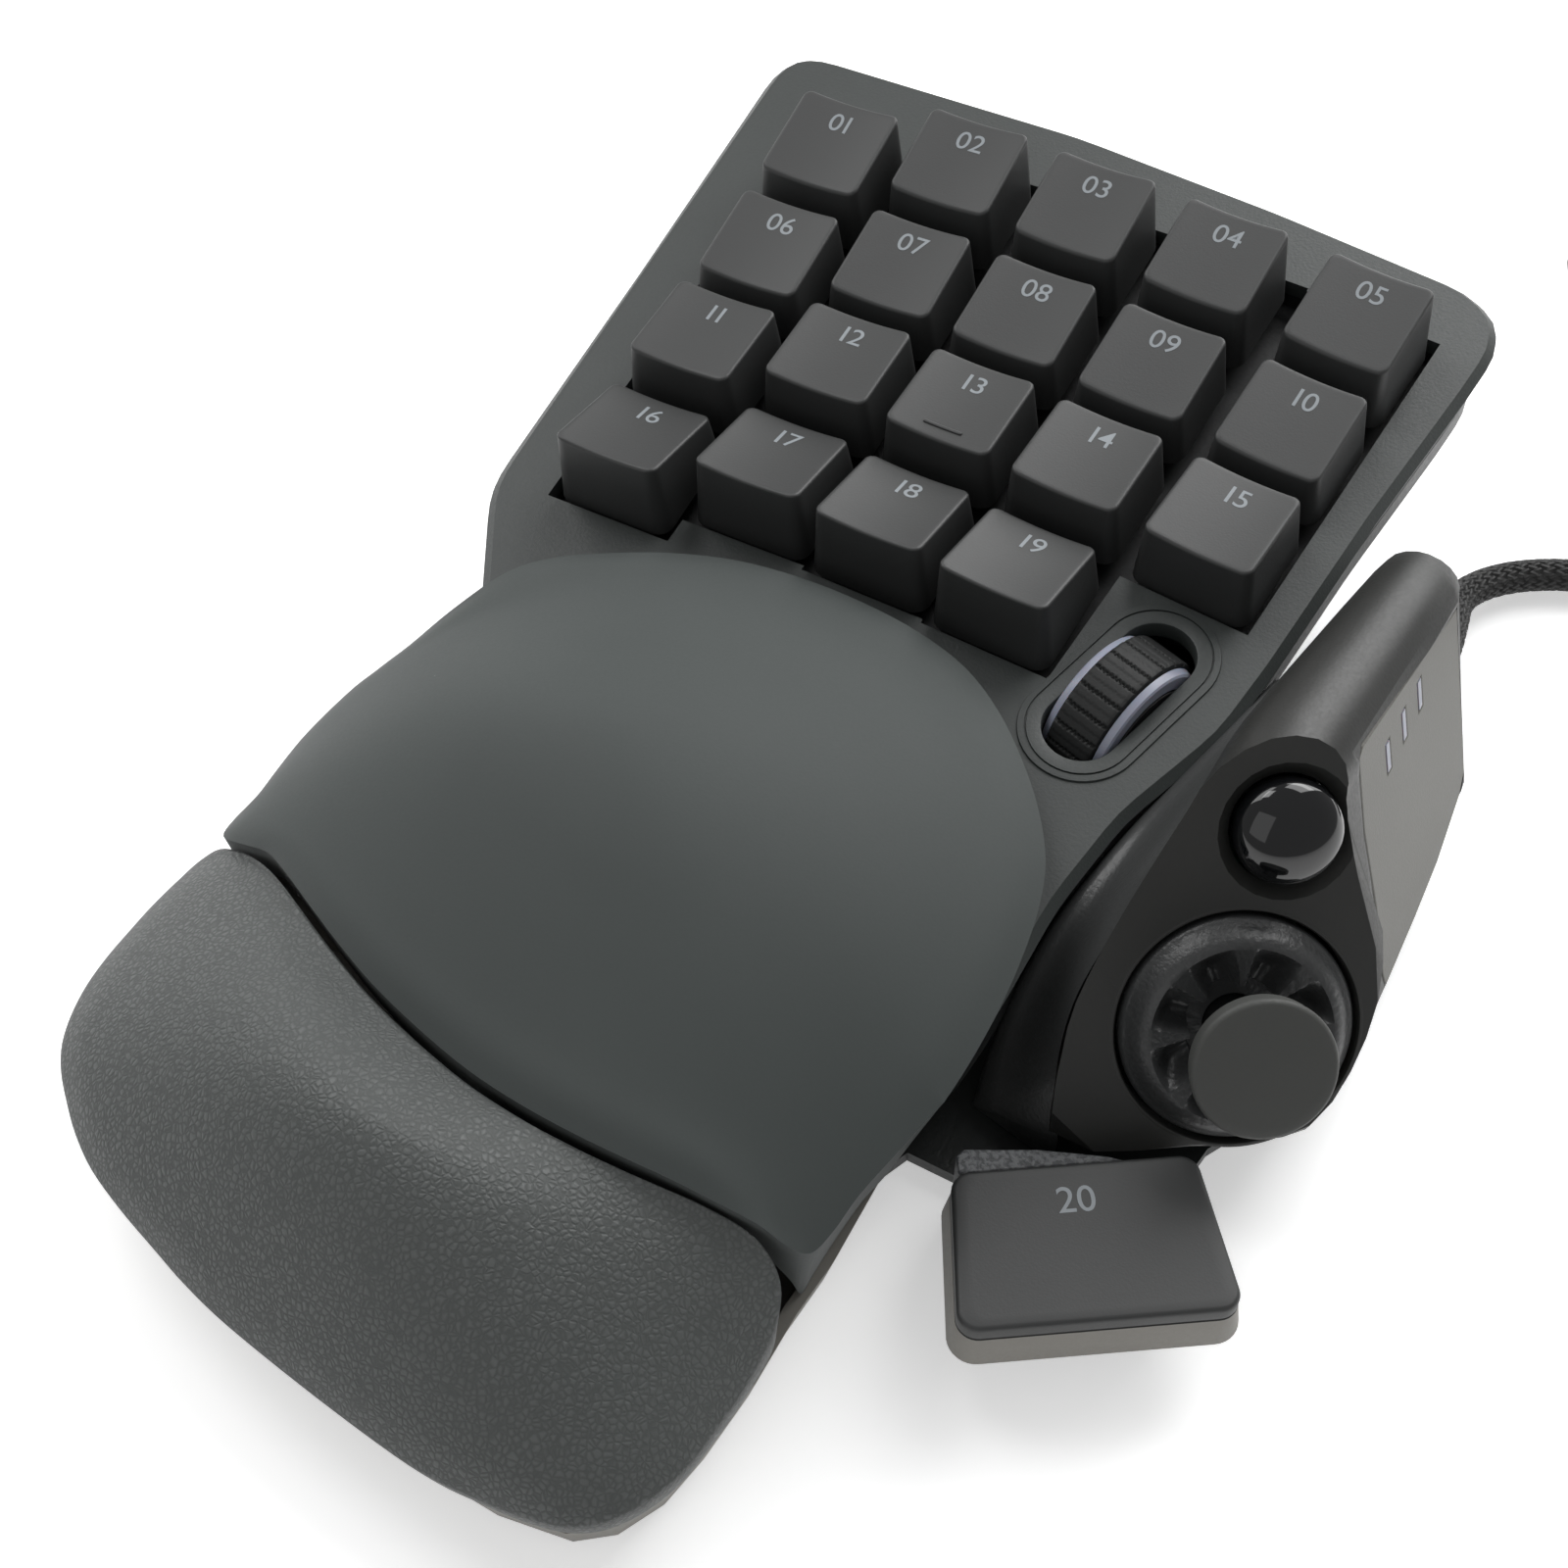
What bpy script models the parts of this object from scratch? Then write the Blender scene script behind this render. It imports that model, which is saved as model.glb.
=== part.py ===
"""Gaming keypad for the left hand: key deck, palm rest with a wrist cushion, thumb module and cord.

Units are metres, +Z is up and +Y points away from the user. The origin lies on the desk, under the
middle of the keypad. Run it with: blender --background --python part.py
"""
import math

import bmesh
import bpy
from mathutils import Matrix, Vector

MM = 0.001
GAP = 0.3 * MM
OVERRUN = 2.0 * MM

# Key deck: a flat plane, raised at the back, that carries the keys
DECK_TILT = math.radians(7.0)
DECK_X = -45.5 * MM
DECK_Y = 77.2 * MM
DECK_Z = 44.1 * MM
DECK_EASE = 3.0 * MM
SHELL_WALL = 2.2 * MM
SHELL_TOP = 2.4 * MM
SHELL_SKIRT = 9.0 * MM
SHELL_DRAFT = 1.8 * MM
SHELL_EDGE_ROUND = 1.2 * MM
HOUSING_LIP = 4.0 * MM

# Keys
KEY_PITCH = 19.05 * MM
KEY_BASE = 16.9 * MM
KEY_TOP = 15.1 * MM
KEY_CORNER_share = 0.10
KEY_WALL = 1.5 * MM
KEY_EDGE = 0.5 * MM
KEY_SINK = 1.0 * MM
KEY_TRAVEL = 3.5 * MM
KEY_ROWS = 4
KEY_HEIGHTS = (10.0 * MM, 7.7 * MM, 8.7 * MM, 8.9 * MM)
KEY_SLOPES = tuple(math.radians(angle) for angle in (8.0, 5.5, -4.0, -18.0))
COLUMN_KEYS = (4, 4, 4, 4, 3)
COLUMN_X = (0.0, 18.5 * MM, 37.4 * MM, 56.4 * MM, 76.2 * MM)
COLUMN_SHIFT = (0.0, 4.4 * MM, 3.9 * MM, 2.9 * MM, 1.4 * MM)
COLUMN_LEAN = tuple(math.radians(angle) for angle in (1.2, 1.4, -0.3, -2.0, -4.4))
WELL_MARGIN = 0.8 * MM
DECK_SIDE_MARGIN = 10.675 * MM
DECK_REAR_MARGIN = 13.4 * MM
DECK_FRONT_MARGIN = 60.0 * MM
DECK_WIDTH = COLUMN_X[4] + KEY_PITCH + 2 * DECK_SIDE_MARGIN
DECK_LENGTH = KEY_ROWS * KEY_PITCH + DECK_REAR_MARGIN + DECK_FRONT_MARGIN

# Key guide plate and main board under the caps
GUIDE_TOP = 5.0 * MM
GUIDE_FLOOR = 1.6 * MM
GUIDE_WALL = 1.2 * MM
TOWER_SIDE = 8.2 * MM
TOWER_HEIGHT = 6.5 * MM
TOWER_BORE = 5.9 * MM
PLUNGER = 5.2 * MM
PLUNGER_DEPTH = 2.6 * MM
BOARD = 1.6 * MM

# Scroll wheel in the deck
WHEEL_LEFT = 3.0 * MM
WHEEL_AHEAD = 4.45 * MM
WHEEL_U = COLUMN_X[4] - WHEEL_LEFT
WHEEL_V = -KEY_PITCH * 3 - WHEEL_AHEAD
WHEEL_LEAN = math.radians(-16.0)
WHEEL_DROP = 6.5 * MM
WHEEL_RADIUS = 11.0 * MM
TREAD_DEPTH = 2.7 * MM
TREAD_HALF = 3.3 * MM
TREAD_RIBS = 24
TREAD_RIB = 0.5 * MM
LIGHT_RING = 1.1 * MM
RING_STEP = 0.7 * MM
RING_BAND = 2.4 * MM
LIGHT_RING_OUTER = WHEEL_RADIUS - RING_STEP
LIGHT_RING_INNER = LIGHT_RING_OUTER - RING_BAND
AXLE = 1.0 * MM
AXLE_HALF = 5.8 * MM
EAR_WALL = 0.8 * MM
EAR_HALF = 2.8 * MM
POST_HALF = 2.0 * MM
WHEEL_END_CLEAR = 1.65 * MM
WHEEL_SIDE_CLEAR = 2.0 * MM
BEZEL_END = 1.55 * MM
BEZEL_SIDE = 1.9 * MM
WHEEL_SLOT_LENGTH = 2 * (WHEEL_RADIUS + WHEEL_END_CLEAR)
WHEEL_SLOT_HALF = TREAD_HALF + WHEEL_SIDE_CLEAR
BEZEL_LENGTH = WHEEL_SLOT_LENGTH + 2 * BEZEL_END
BEZEL_HALF = WHEEL_SLOT_HALF + BEZEL_SIDE
BEZEL_RISE = 0.6 * MM

# Base plate, feet and screws
FOOT_HEIGHT = 1.3 * MM
FOOT_RADIUS = 5.0 * MM
PLATE = 2.0 * MM
PLATE_WIDTH = 124.0 * MM
PLATE_LENGTH = 134.0 * MM
SCREW_RADIUS = 1.4 * MM
SCREW_HEAD = 2.6 * MM
SCREW_HEAD_HEIGHT = 1.0 * MM
SCREW_LENGTH = 7.0 * MM
HOUSING_SHRINK_X_share = 0.84
HOUSING_SHRINK_Y_share = 0.86

# Palm rest: dome, lower tray, cushion and slide tongues
PALM_X = -18.0 * MM
PALM_Y = -46.5 * MM
PALM_WIDTH = 105.0 * MM
PALM_LENGTH = 113.0 * MM
PALM_HEIGHT = 51.0 * MM
PALM_WALL = 2.2 * MM
PALM_TRAVEL = 12.0 * MM
TRAY_TOP = 8.5 * MM
TRAY_WALL = 1.8 * MM
TRAY_DRAFT = 1.5 * MM
CUSHION_DRAW = 3.0 * MM
TONGUE_WIDTH = 9.0 * MM
TONGUE_HEIGHT = 2.5 * MM
TONGUE_LENGTH = 88.0 * MM
TONGUE_BACK = 13.0 * MM
TONGUE_shares = (-0.0762, 0.2667)
TONGUE_X = tuple(PALM_X + PALM_WIDTH * share for share in TONGUE_shares)
TONGUE_SIDE_GAP = 0.5 * MM
EVENING = 2

# Thumb module
THUMB_OVERLAP = 32.6 * MM
THUMB_X = DECK_X + DECK_WIDTH - THUMB_OVERLAP
THUMB_Y = 53.0 * MM
THUMB_WIDTH = 36.0 * MM
THUMB_LENGTH = 84.5 * MM
THUMB_HEIGHT = 53.0 * MM
THUMB_WALL = 2.2 * MM
SADDLE_OVERLAP = 3.0 * MM
SADDLE_GROOVE = 0.5 * MM
FACE_REACH = 19.4 * MM
FACE_X = THUMB_X + FACE_REACH
FACE_Y = -14.8 * MM
FACE_Z = 24.6 * MM
FACE_YAW = math.radians(33.3)
FACE_LEAN = math.radians(53.0)
FACE_ROLL = math.radians(-13.0)
SIDE_LEAN = math.radians(15.5)
SIDE_REACH = 21.2 * MM
SIDE_X = THUMB_X + SIDE_REACH
SIDE_Z = 44.0 * MM
SIDE_PLATE = 1.2 * MM
SIDE_LENGTH = 35.0 * MM
SIDE_DROP = 41.0 * MM
SIDE_SET = 8.0 * MM
BUTTON_UP = 24.5 * MM
BUTTON_SIDE = 0.4 * MM
BUTTON_RADIUS = 6.4 * MM
BUTTON_RECESS = 8.3 * MM
BUTTON_RECESS_DEPTH = 1.6 * MM
BUTTON_DOME = 3.4 * MM
BUTTON_TRAVEL = 1.2 * MM
BUTTON_STEM = 5.0 * MM
PAD_RADIUS = 14.0 * MM
PAD_RISE = 1.6 * MM
PAD_DEPTH = 2.2 * MM
PAD_CLEAR = 0.85 * MM
PAD_FACETS = 8
PAD_STEP = 1.1 * MM
PAD_HUB = 5.0 * MM
STICK_HEIGHT = 13.2 * MM
STICK_CAP_RADIUS = 8.5 * MM
STICK_CAP_THICK = 3.6 * MM
STICK_STEM_RADIUS = 3.4 * MM
GIMBAL_OUTER = 7.4 * MM
GIMBAL_INNER = 4.2 * MM
GIMBAL_HALF = 0.8 * MM
GIMBAL_DROP = 4.4 * MM
SENSOR_SIDE = 15.0 * MM
SENSOR_HEIGHT = 4.0 * MM
BALL_RADIUS = 2.6 * MM
THUMB_BOARD = 1.6 * MM
THUMB_BOARD_LEFT = 4.0 * MM
THUMB_BOARD_RIGHT = 8.0 * MM
THUMB_BOARD_UP = 20.0 * MM
THUMB_BOARD_DOWN = 8.0 * MM
SWING_CLEAR = 2.2 * MM
SLIT_WIDTH = 1.0 * MM
SLIT_LENGTH = 5.2 * MM
SLIT_PITCH = 5.6 * MM
SLIT_START = 22.0 * MM
SLIT_DOWN = 1.8 * MM
PIPE_THICK = 0.9 * MM
PIPE_CLEAR = 0.2 * MM

# Thumb key 20
PADDLE_REACH = 18.5 * MM
PADDLE_X = PALM_X + PALM_WIDTH / 2 + PADDLE_REACH
PADDLE_Y = -44.3 * MM
PADDLE_Z = 17.0 * MM
PADDLE_YAW = math.radians(34.1)
PADDLE_FRONT = 32.2 * MM
PADDLE_REAR = 29.4 * MM
PADDLE_DEPTH = 19.8 * MM
PADDLE_HEIGHT = 7.6 * MM
PADDLE_FLARE = 0.8 * MM
PADDLE_WALL = 1.4 * MM
PADDLE_EDGE = 0.7 * MM
PADDLE_TRAVEL = 2.0 * MM
PADDLE_CORNER_share = 0.07
CRADLE_INSET = 4.2 * MM
CRADLE_TOP = 1.5 * MM
PADDLE_TOWER = 8.0 * MM
PADDLE_TOWER_HEIGHT = 3.4 * MM

# Cord, its coil, tie and plug
CORD_RADIUS = 2.5 * MM
BOOT_LENGTH = 11.0 * MM
BOOT_WIDE = 4.4 * MM
BOOT_THIN = 3.0 * MM
CORD_START_REACH = 20.0 * MM
CORD_START_X = THUMB_X + CORD_START_REACH
CORD_START_Y = 64.6 * MM
CORD_START_Z = 9.0 * MM
COIL_X = 135.0 * MM
COIL_Y = 152.0 * MM
COIL_START = math.radians(-70.0)
COIL_OUTER = 41.0 * MM
COIL_TURN_STEP = 5.7 * MM
COIL_LAYER = 5.8 * MM
COIL_LOOPS = 4.5
COIL_STEPS = 24
TAIL_LENGTH = 34.0 * MM
TIE_WIDTH = 9.0 * MM
TIE_WALL = 0.8 * MM
TIE_ANGLE = math.radians(60.0)
PLUG_WIDTH = 15.6 * MM
PLUG_HEIGHT = 7.6 * MM
PLUG_LENGTH = 30.0 * MM
PLUG_SHELL_WIDTH = 12.0 * MM
PLUG_SHELL_HEIGHT = 4.5 * MM
PLUG_SHELL_LENGTH = 12.0 * MM
PLUG_SHELL_WALL = 0.4 * MM

BARREL_STEPS = 10
ROUND_SIDES = 24
SMALL_SIDES = 12

# Outline of the top shell about key one, in shares of the deck's width and length
DECK_OUTLINE_shares = (
    (-0.184, 0.128), (-0.172, 0.156), (-0.140, 0.170), (0.230, 0.178), (0.503, 0.164),
    (0.755, 0.143), (0.803, 0.120), (0.820, 0.080), (0.813, 0.020), (0.786, -0.147),
    (0.764, -0.334), (0.750, -0.414), (0.699, -0.521), (0.680, -0.615), (0.678, -0.722),
    (0.668, -0.789), (0.600, -0.809), (0.343, -0.809), (0.103, -0.789), (0.017, -0.709),
    (-0.047, -0.592), (-0.135, -0.471), (-0.146, -0.441), (-0.162, -0.169),
)

# Outline of the base plate, in shares of its width and length about its own middle
PLATE_OUTLINE_shares = (
    (-0.488, 0.450), (-0.452, 0.480), (0.162, 0.475), (0.222, 0.450), (0.238, 0.375),
    (0.232, 0.135), (0.262, 0.060), (0.330, 0.120), (0.372, 0.235), (0.402, 0.253),
    (0.470, 0.250), (0.492, 0.195), (0.502, -0.015), (0.480, -0.185), (0.430, -0.270),
    (0.418, -0.350), (0.428, -0.395), (0.415, -0.435), (0.375, -0.485), (0.310, -0.490),
    (0.292, -0.430), (0.262, -0.408), (0.170, -0.408), (0.150, -0.452), (-0.335, -0.452),
    (-0.415, -0.345),
    (-0.472, -0.200), (-0.492, -0.020),
)
# Feet and screw of the base plate, then the feet of the palm rest, in shares about their middles
FOOT_shares = {"foot_rear_left": (-0.42, 0.40), "foot_rear_right": (0.16, 0.40),
               "foot_front_right": (0.40, -0.10)}
SCREW_share = (-0.20, 0.42)
PALM_FOOT_shares = {"foot_palm_left": (-0.34, -0.28), "foot_palm_right": (0.28, -0.36)}
PLATE_X = 6.0 * MM
PLATE_Y = 17.0 * MM

# Palm dome, in shares of the palm rest's width, length and height: x, y, edge height, lower height,
# and how far the lower edge draws in, as a share of the width
DOME_EDGE_shares = (
    (-0.382, 0.268, 0.600, 0.575, 0.010), (-0.305, 0.372, 0.735, 0.700, 0.010),
    (-0.205, 0.442, 0.765, 0.706, 0.010), (-0.052, 0.491, 0.800, 0.715, 0.010),
    (0.119, 0.500, 0.810, 0.720, 0.010), (0.271, 0.473, 0.800, 0.712, 0.010),
    (0.386, 0.394, 0.780, 0.690, 0.010), (0.467, 0.296, 0.745, 0.667, 0.010),
    (0.495, 0.190, 0.710, 0.640, 0.010), (0.500, 0.092, 0.670, 0.620, 0.010),
    (0.494, 0.024, 0.630, 0.605, 0.010), (0.489, 0.008, 0.620, 0.175, 0.058),
    (0.457, -0.093, 0.545, 0.175, 0.038), (0.438, -0.160, 0.490, 0.175, 0.024),
    (0.386, -0.177, 0.590, 0.400, 0.010), (0.290, -0.190, 0.660, 0.500, 0.010),
    (0.176, -0.199, 0.690, 0.520, 0.010), (0.043, -0.190, 0.690, 0.520, 0.010),
    (-0.119, -0.146, 0.655, 0.500, 0.010), (-0.262, -0.084, 0.600, 0.450, 0.010),
    (-0.367, -0.035, 0.520, 0.380, 0.010), (-0.470, -0.010, 0.380, 0.175, 0.012),
    (-0.478, 0.058, 0.360, 0.175, 0.014), (-0.472, 0.142, 0.400, 0.175, 0.014),
    (-0.444, 0.208, 0.470, 0.175, 0.014), (-0.420, 0.234, 0.520, 0.200, 0.012),
)
DOME_APEX_shares = (0.005, 0.164, 0.985)
DOME_RINGS_shares = (0.0, 0.05, 0.13, 0.27, 0.45, 0.68, 0.88)

# Wrist cushion, in the same shares: x, y and edge height
CUSHION_EDGE_shares = (
    (-0.474, -0.019, 0.330), (-0.367, -0.046, 0.470), (-0.262, -0.095, 0.550),
    (-0.119, -0.157, 0.610), (0.043, -0.201, 0.650), (0.176, -0.210, 0.650),
    (0.290, -0.201, 0.620), (0.386, -0.189, 0.540), (0.430, -0.206, 0.440),
    (0.438, -0.261, 0.360), (0.433, -0.332, 0.340), (0.422, -0.394, 0.330),
    (0.390, -0.451, 0.320), (0.338, -0.485, 0.310), (0.243, -0.500, 0.300),
    (0.138, -0.501, 0.300), (-0.086, -0.475, 0.300), (-0.213, -0.445, 0.300),
    (-0.337, -0.405, 0.300), (-0.420, -0.354, 0.300), (-0.475, -0.301, 0.300),
    (-0.503, -0.228, 0.300), (-0.506, -0.150, 0.305), (-0.499, -0.070, 0.315),
)
CUSHION_APEX_shares = (0.00, -0.290, 0.735)
CUSHION_RINGS_shares = (0.0, 0.06, 0.15, 0.30, 0.50, 0.72, 0.90)

# Tray under the cushion, in the same shares
TRAY_OUTLINE_shares = (
    (-0.471, 0.205), (-0.476, 0.110), (-0.471, -0.005), (-0.486, -0.155), (-0.481, -0.226),
    (-0.458, -0.294), (-0.408, -0.344), (-0.326, -0.391), (-0.202, -0.431), (-0.076, -0.461),
    (0.138, -0.482), (0.243, -0.484), (0.333, -0.469), (0.376, -0.438), (0.405, -0.385),
    (0.417, -0.323), (0.424, -0.243), (0.424, -0.164), (0.430, -0.093), (0.428, 0.011),
    (-0.397, 0.011), (-0.397, 0.214),
)

# Sections of the thumb module, in shares of its length, width and height. Each row holds y from
# the back; x of lower left, upper left, upper right, right bulge, right foot and lower right; z of
# bottom, foot, bulge, left shoulder, ridge middle and ridge top
THUMB_SECTION_shares = (
    (0.000, 0.361, 0.361, 0.528, 0.611, 0.722, 0.708, 0.074, 0.170, 0.453, 0.453, 0.679, 0.728),
    (0.030, 0.319, 0.322, 0.561, 0.661, 0.764, 0.750, 0.074, 0.189, 0.453, 0.453, 0.740, 0.818),
    (0.095, 0.289, 0.292, 0.611, 0.743, 0.839, 0.800, 0.074, 0.215, 0.453, 0.453, 0.774, 0.877),
    (0.320, 0.167, 0.222, 0.593, 0.743, 0.878, 0.861, 0.074, 0.123, 0.453, 0.453, 0.821, 0.934),
    (0.509, 0.060, 0.167, 0.577, 0.743, 0.886, 0.886, 0.074, 0.104, 0.453, 0.453, 0.858, 0.987),
    (0.604, 0.036, 0.158, 0.583, 0.833, 0.900, 0.875, 0.132, 0.264, 0.585, 0.453, 0.868, 1.000),
    (0.679, 0.030, 0.153, 0.589, 0.908, 0.900, 0.861, 0.170, 0.283, 0.498, 0.453, 0.868, 1.000),
    (0.751, 0.030, 0.139, 0.597, 0.917, 0.889, 0.847, 0.198, 0.264, 0.368, 0.434, 0.868, 1.000),
    (0.822, 0.030, 0.120, 0.569, 0.875, 0.856, 0.806, 0.217, 0.245, 0.292, 0.415, 0.868, 1.000),
    (0.876, 0.030, 0.110, 0.528, 0.739, 0.728, 0.708, 0.226, 0.255, 0.283, 0.396, 0.868, 1.000),
    (0.923, 0.045, 0.110, 0.472, 0.564, 0.556, 0.542, 0.236, 0.255, 0.274, 0.377, 0.868, 1.000),
    (1.000, 0.111, 0.172, 0.267, 0.306, 0.300, 0.292, 0.245, 0.260, 0.274, 0.377, 0.868, 1.000),
)

# Saddle of the thumb module beside the deck, from its back to its foot, in the module's shares: x, y
# and height at the groove beside the deck, then at the rim of the face
SADDLE_shares = (
    (0.139, 0.289, 0.691, 0.264, 0.361, 0.811),
    (0.069, 0.402, 0.675, 0.242, 0.509, 0.896),
    (0.008, 0.509, 0.657, 0.214, 0.604, 0.921),
    (-0.044, 0.592, 0.640, 0.169, 0.675, 0.855),
    (-0.100, 0.698, 0.611, 0.114, 0.751, 0.749),
    (-0.147, 0.787, 0.557, 0.075, 0.824, 0.640),
    (-0.181, 0.858, 0.443, 0.047, 0.895, 0.528),
    (-0.203, 0.917, 0.264, 0.069, 0.954, 0.377),
    (-0.203, 0.959, 0.104, 0.139, 0.988, 0.189),
)

# Side plate of the thumb module: along from its back edge and down from its top edge
SIDE_OUTLINE_shares = (
    (0.000, 0.060), (0.930, -0.110), (0.970, -0.090), (0.980, 0.200), (0.935, 0.580),
    (0.930, 0.900), (0.910, 0.985), (0.600, 0.960), (0.330, 0.925), (0.060, 0.840), (0.000, 0.780),
)

# Route of the cord on the desk, from the strain relief to the coil, chosen by hand
CORD_ROUTE = (
    (0.0585, 0.0649, 0.0090), (0.0582, 0.0700, 0.0085), (0.0574, 0.0760, 0.0070),
    (0.0567, 0.0815, 0.0053), (0.0575, 0.0862, 0.0042), (0.0603, 0.0910, 0.0034),
    (0.0646, 0.0949, 0.0031), (0.0705, 0.0980, 0.0031), (0.0800, 0.1010, 0.0032),
    (0.0920, 0.1030, 0.0034), (0.1060, 0.1040, 0.0036), (0.1190, 0.1047, 0.0036),
    (0.1321, 0.1075, 0.0036),
)

COLOURS = {
    "key": ((0.075, 0.078, 0.080), 0.55, 0.0),
    "shell": ((0.052, 0.058, 0.057), 0.60, 0.0),
    "housing": ((0.060, 0.062, 0.062), 0.60, 0.0),
    "inner": ((0.030, 0.030, 0.032), 0.70, 0.0),
    "board": ((0.020, 0.110, 0.050), 0.45, 0.0),
    "palm": ((0.082, 0.090, 0.090), 0.75, 0.0),
    "leather": ((0.048, 0.050, 0.049), 0.50, 0.0),
    "rubber": ((0.020, 0.020, 0.021), 0.80, 0.0),
    "light": ((0.400, 0.460, 0.560), 0.25, 0.0),
    "gloss": ((0.006, 0.006, 0.007), 0.06, 0.0),
    "metal": ((0.560, 0.560, 0.560), 0.35, 1.0),
    "plate": ((0.150, 0.148, 0.140), 0.50, 0.0),
    "cord": ((0.020, 0.020, 0.021), 0.80, 0.0),
}


def clear_scene():
    for item in list(bpy.data.objects):
        bpy.data.objects.remove(item, do_unlink=True)


def material(name):
    """The Principled material of one finish, made once."""
    known = bpy.data.materials.get(name)
    if known:
        return known
    colour, roughness, metallic = COLOURS[name]
    made = bpy.data.materials.new(name)
    made.use_nodes = True
    shader = made.node_tree.nodes["Principled BSDF"]
    shader.inputs["Base Color"].default_value = (*colour, 1.0)
    shader.inputs["Roughness"].default_value = roughness
    shader.inputs["Metallic"].default_value = metallic
    return made


def add_object(name, mesh, finish, parent=None, matrix=None):
    """Link a mesh as a named object, in its parent's frame."""
    item = bpy.data.objects.new(name, mesh)
    bpy.context.collection.objects.link(item)
    if finish:
        mesh.materials.clear()
        mesh.materials.append(material(finish))
    item.parent = parent
    item.matrix_local = matrix or Matrix.Identity(4)
    return item


def mesh_from(name, points, faces, smooth_angle=None):
    """A mesh from points and faces, with its faces turned outward."""
    shape = bmesh.new()
    corners = [shape.verts.new(point) for point in points]
    for face in faces:
        shape.faces.new([corners[index] for index in face])
    bmesh.ops.recalc_face_normals(shape, faces=shape.faces)
    mesh = bpy.data.meshes.new(name)
    shape.to_mesh(mesh)
    shape.free()
    if smooth_angle:
        mesh.shade_smooth()
        mesh.set_sharp_from_angle(angle=smooth_angle)
    return mesh


def stacked_mesh(name, rings, smooth_angle=None, closed=False):
    """Skin rings of equal count; a closed stack joins its last ring to its first."""
    count = len(rings[0])
    points = [point for ring in rings for point in ring]
    faces = []
    pairs = list(zip(range(len(rings) - 1), range(1, len(rings))))
    if closed:
        pairs.append((len(rings) - 1, 0))
    for low, high in pairs:
        for index in range(count):
            after = (index + 1) % count
            faces.append((low * count + index, low * count + after,
                          high * count + after, high * count + index))
    if not closed:
        faces.append(tuple(range(count)))
        faces.append(tuple((len(rings) - 1) * count + index for index in range(count)))
    return mesh_from(name, points, faces, smooth_angle)


def lift(outline, height):
    return [(x, y, height) for x, y in outline]


def prism_mesh(name, outline, low, high):
    return stacked_mesh(name, [lift(outline, low), lift(outline, high)])


def circle(radius, sides=ROUND_SIDES, x=0.0, y=0.0, turn=0.0):
    """Points of a circle, anticlockwise."""
    step = math.tau / sides
    return [(x + radius * math.cos(turn + step * index), y + radius * math.sin(turn + step * index))
            for index in range(sides)]


def stadium(length, half, sides=SMALL_SIDES):
    """A slot outline with round ends, long in y."""
    straight = length / 2 - half
    points = []
    for index in range(sides + 1):
        angle = math.pi * index / sides
        points.append((half * math.cos(angle), straight + half * math.sin(angle)))
    return points + [(-x, -y) for x, y in points]


def rounded_box(width, depth, corner, arc_points=3, front_width=None):
    """A rectangle, or a trapezium with its own front width, with round corners."""
    front = front_width or width
    points = []
    corners = ((front / 2, -depth / 2), (width / 2, depth / 2), (-width / 2, depth / 2),
               (-front / 2, -depth / 2))
    for turn, (x, y) in enumerate(corners):
        middle_x = x - math.copysign(corner, x)
        middle_y = y - math.copysign(corner, y)
        for index in range(arc_points):
            angle = math.pi / 2 * (turn - 1 + index / (arc_points - 1))
            points.append((middle_x + corner * math.cos(angle), middle_y + corner * math.sin(angle)))
    return points


def eased(outline, reach):
    """An outline with each corner eased into three points."""
    points = []
    for index, point in enumerate(outline):
        here = Vector(point)
        before = Vector(outline[index - 1]) - here
        after = Vector(outline[(index + 1) % len(outline)]) - here
        start = here + before * min(reach / before.length, 0.4)
        stop = here + after * min(reach / after.length, 0.4)
        points += [tuple(start), tuple((start + 2 * here + stop) / 4), tuple(stop)]
    return points


def outline_area(outline):
    total = 0.0
    for (ax, ay), (bx, by) in zip(outline, outline[1:] + outline[:1]):
        total += ax * by - bx * ay
    return total / 2


def inset(outline, distances):
    """Move an outline inward by one distance, or by one for each of its points."""
    if not hasattr(distances, "__len__"):
        distances = [distances] * len(outline)
    turn = 1.0 if outline_area(outline) > 0 else -1.0
    moved = []
    for index, point in enumerate(outline):
        here = Vector(point)
        before = (here - Vector(outline[index - 1])).normalized()
        after = (Vector(outline[(index + 1) % len(outline)]) - here).normalized()
        inward = Vector((-before.y - after.y, before.x + after.x)) * turn
        inward.normalize()
        share = max(0.5, inward.dot(Vector((-after.y, after.x)) * turn))
        moved.append(tuple(here + inward * (distances[index] / share)))
    return moved


def smooth_loop(rows, steps=2):
    """A closed smooth curve through rows of numbers; each row keeps its own point."""
    count = len(rows)
    result = []
    for index in range(count):
        a, b, c, d = (rows[(index + shift) % count] for shift in (-1, 0, 1, 2))
        for step in range(steps):
            t = step / steps
            row = []
            for p0, p1, p2, p3 in zip(a, b, c, d):
                value = 2 * p1 + (p2 - p0) * t + (2 * p0 - 5 * p1 + 4 * p2 - p3) * t * t
                value += (3 * p1 - p0 - 3 * p2 + p3) * t * t * t
                row.append(value / 2)
            result.append(tuple(row))
    return result


def between(rows):
    """Rows of numbers with one more between each two, on a smooth curve through them."""
    result = []
    last = len(rows) - 1
    for index in range(last):
        a, b, c, d = (rows[min(max(index + shift, 0), last)] for shift in (-1, 0, 1, 2))
        result.append(b)
        result.append(tuple((9 * (p1 + p2) - p0 - p3) / 16 for p0, p1, p2, p3 in zip(a, b, c, d)))
    result.append(rows[last])
    return result


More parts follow.
